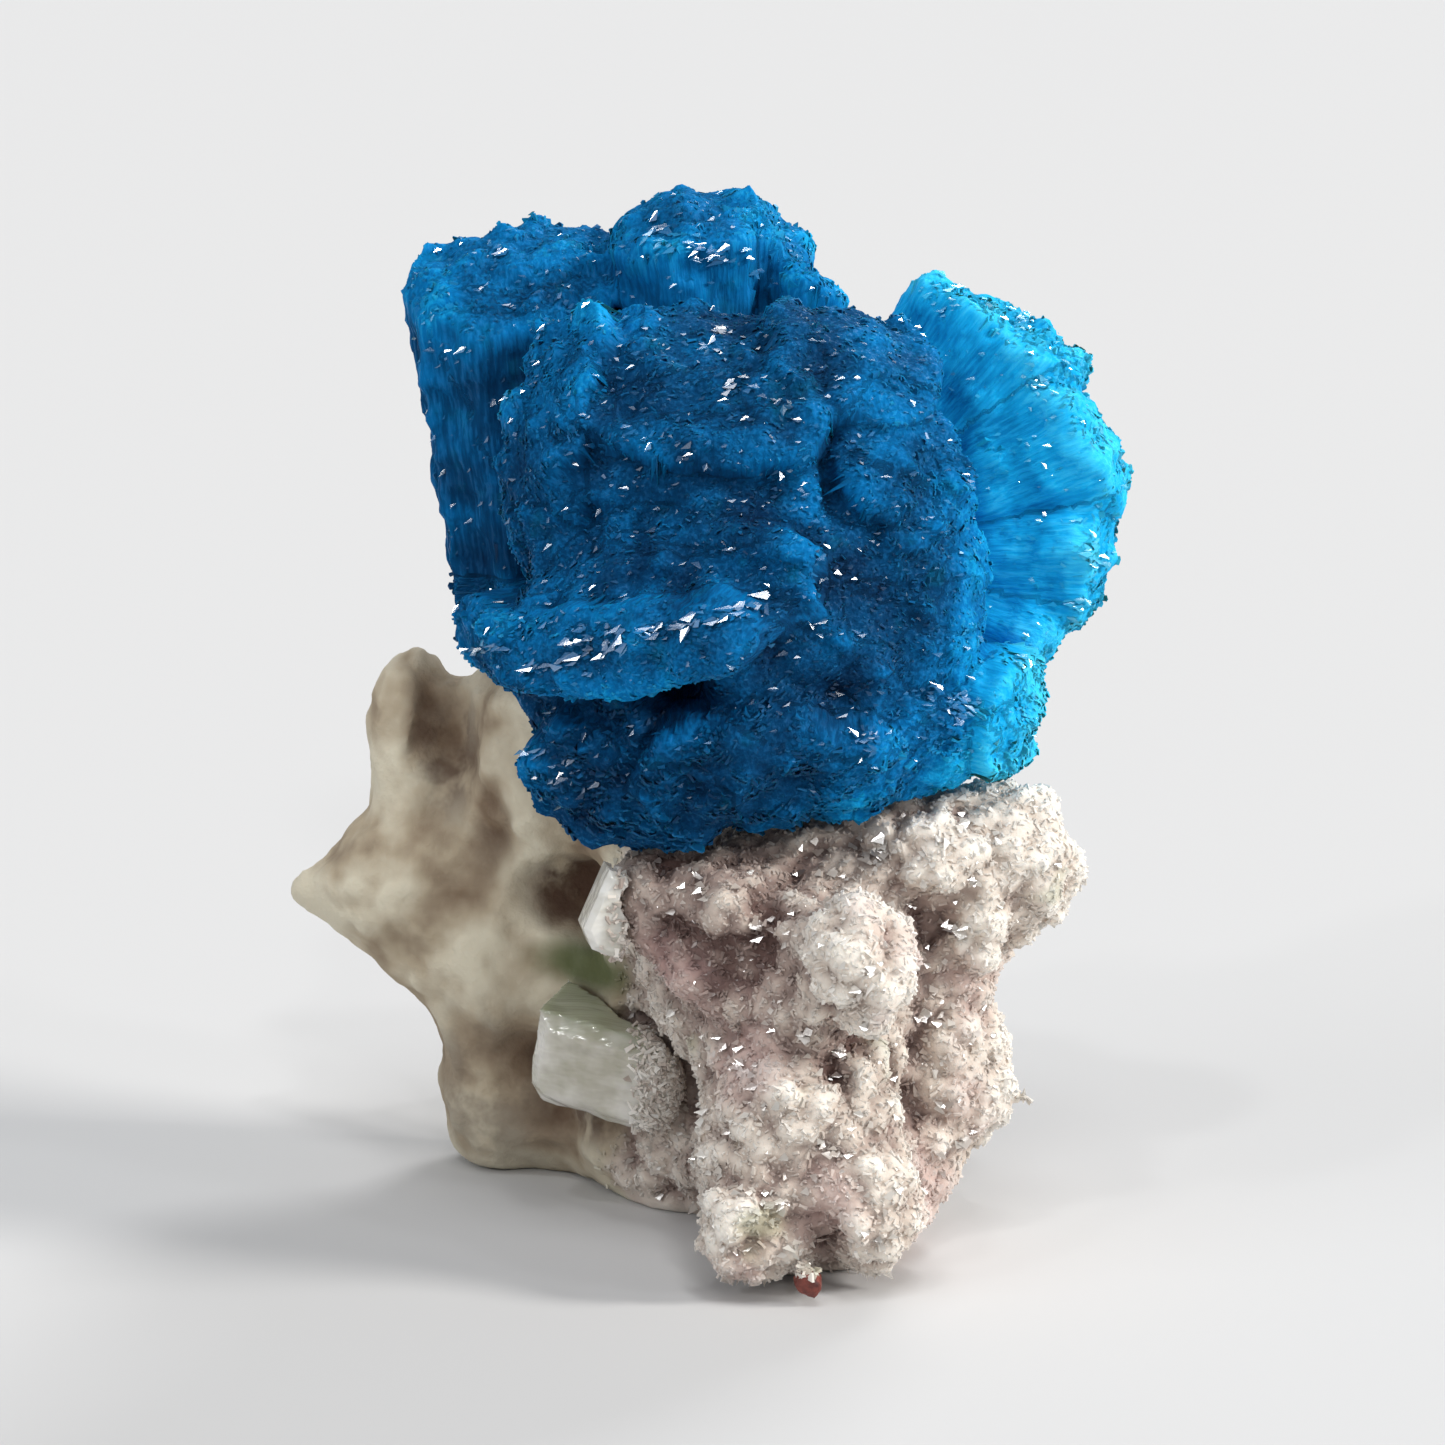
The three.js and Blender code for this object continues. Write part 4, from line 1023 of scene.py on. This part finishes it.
def lapped(crystal, name, count, axis, none_at, all_at):
    """Druse crystals grown over an end of a larger crystal, between two places along an axis."""
    scaled(crystal, 1 / MM)
    share = soft_step(places(crystal)[:, axis], none_at, all_at)
    where, facing, nearest = skin_points(crystal, count, share)
    scaled(crystal, MM)
    lay = unit(facing + 0.5 * draw.normal(size=where.shape))
    grown = draw.uniform(0.6, 1.4, count)
    sizes = drawn_sizes(LAPPED_SIZES, [grown] * 4)
    tips = where + lay * draw.uniform(0.0, 0.12, count)[:, None]
    piece = bladed(
        name, tips * MM, lay, draw.normal(size=where.shape), sizes * MM, leaning(count), facing,
        druse_material,
        {"relief_shade": draw.uniform(-0.1, 1.0, count), "chance": draw.random(count), "druse": np.ones(count)})
    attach(piece, "root")
    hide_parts("zeolite_matrix")


def milky_crystal(name, clear, veil, turn, **values):
    """A translucent crystal: clear and veil are its two colours, turn how its steps run, in degrees."""
    material, tree, shader = new_material(name, IOR=1.52, Roughness=0.16, **values)
    place = add_node(tree, "TexCoord").outputs["Object"]
    colour = ramp(tree, noise_at(tree, place, 0.8), (0.35, *clear), (0.62, *veil))
    upper = add_node(tree, "Attribute", attribute_name="upper").outputs["Fac"]
    colour = stained_or_shaded(tree, colour, upper, 0.75, (0.47, 0.51, 0.34))
    tree.links.new(colour, shader.inputs["Base Color"])
    turned = add_node(tree, "Mapping", Vector=place, Scale=(0.08, 1.0, 1.0),
                      Rotation=[math.radians(angle) for angle in turn])
    with_bump(tree, shader, noise_at(tree, turned.outputs["Vector"], 0.3, 2.0), 0.10)
    return material


milky = milky_crystal(
    "milky_zeolite", (0.58, 0.55, 0.44), (0.86, 0.83, 0.75), (-10, -11, 20),
    Transmission_Weight=0.2, Coat_Weight=0.6, Coat_Roughness=0.08,
    Subsurface_Weight=0.4, Subsurface_Scale=0.6 * MM, Subsurface_Radius=(0.9, 1.0, 0.75))
block = single_crystal("block_crystal", milky)
keep(block, "upper", soft_step(directions(block)[:, 2], 0.3, 0.8))
lapped(block, "zeolite_druse_on_block", 900, 0, -1.7, -1.0)

# The white crystal
# A small whitish crystal under the rosette's left side, standing up steeply out of the druse.

whitish = milky_crystal(
    "white_zeolite", (0.68, 0.66, 0.58), (0.90, 0.88, 0.82), (0, 66, -10), Transmission_Weight=0.15,
    Subsurface_Weight=0.4, Subsurface_Scale=0.4 * MM, Subsurface_Radius=(1.0, 0.95, 0.85))
white = single_crystal("white_crystal", whitish, edge_mm=0.05)
lapped(white, "zeolite_druse_on_white", 80, 0, -1.85, -1.6)

# The red-brown grain
# A grain of another mineral, dull and rusty, stuck at the foot.

rusty, tree, shader = new_material("rusty_mineral", Roughness=0.5)
place = add_node(tree, "TexCoord").outputs["Object"]
rust = ramp(tree, noise_at(tree, place, 0.2), (0.35, 0.06, 0.012, 0.01), (0.6, 0.21, 0.045, 0.03))
tree.links.new(rust, shader.inputs["Base Color"])
with_bump(tree, shader, noise_at(tree, place, 0.12), 0.04)
grain = single_crystal("red_brown_grain", rusty)
lapped(grain, "zeolite_druse_on_grain", 45, 2, 0.6, 0.85)

# The floor, the light and the camera

bpy.ops.mesh.primitive_plane_add(size=2.0)
floor = bpy.context.object
floor.name = "floor"
floor_material = new_material("floor", Roughness=0.9, Base_Color=(0.62, 0.62, 0.62, 1))[0]
floor.data.materials.append(floor_material)
floor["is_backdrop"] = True

world = bpy.data.worlds.new("studio")
world.use_nodes = True
sky = world.node_tree.nodes["Background"]
sky.inputs["Color"].default_value = (0.9, 0.94, 1.0, 1)
sky.inputs["Strength"].default_value = 0.26
bpy.context.scene.world = world

TARGET = Vector((0.31, -0.55, 10.52)) * MM  # the camera looks at this place


def lamp(name, azimuth, elevation, softness, strength, colour=(1, 1, 1)):
    """A far studio lamp; softness is how wide it looks from the specimen, in degrees."""
    away = Vector(lamp_face(azimuth, elevation))
    light = bpy.data.lights.new(name, "SUN")
    light.angle = math.radians(softness)
    light.energy = strength
    light.color = colour
    holder = placed(name, light)
    holder.location = TARGET + away * 100 * MM
    holder.rotation_euler = away.to_track_quat("Z", "Y").to_euler()


lamp("key", 76, 27, 14, 2.5, (1.0, 0.97, 0.93))
lamp("back", 150, 38, 20, 1.2)
lamp("top", 10, 66, 16, 0.6)
lamp("fill", -60, 32, 30, 0.4, (0.93, 0.96, 1.0))
for number, spark in enumerate(SPARKS):
    lamp(f"spark_{number}", *spark, 3.8, 0.26)

DISTANCE_MM = 110
LENS_MM, SENSOR_MM = 137, 36
camera = placed("camera", bpy.data.cameras.new("camera"))
camera.data.lens = LENS_MM
camera.data.sensor_width = SENSOR_MM
camera.data.clip_start = 1 * MM
camera.location = TARGET + Vector(CAMERA_FACE) * DISTANCE_MM * MM
camera.rotation_euler = (math.pi / 2 - VIEW_RISE, 0, 0)
bpy.context.scene.camera = camera
bpy.context.scene.view_settings.view_transform = "Standard"

sizes = {"cad": cad_box, "visual": [list(corner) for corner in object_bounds()]}
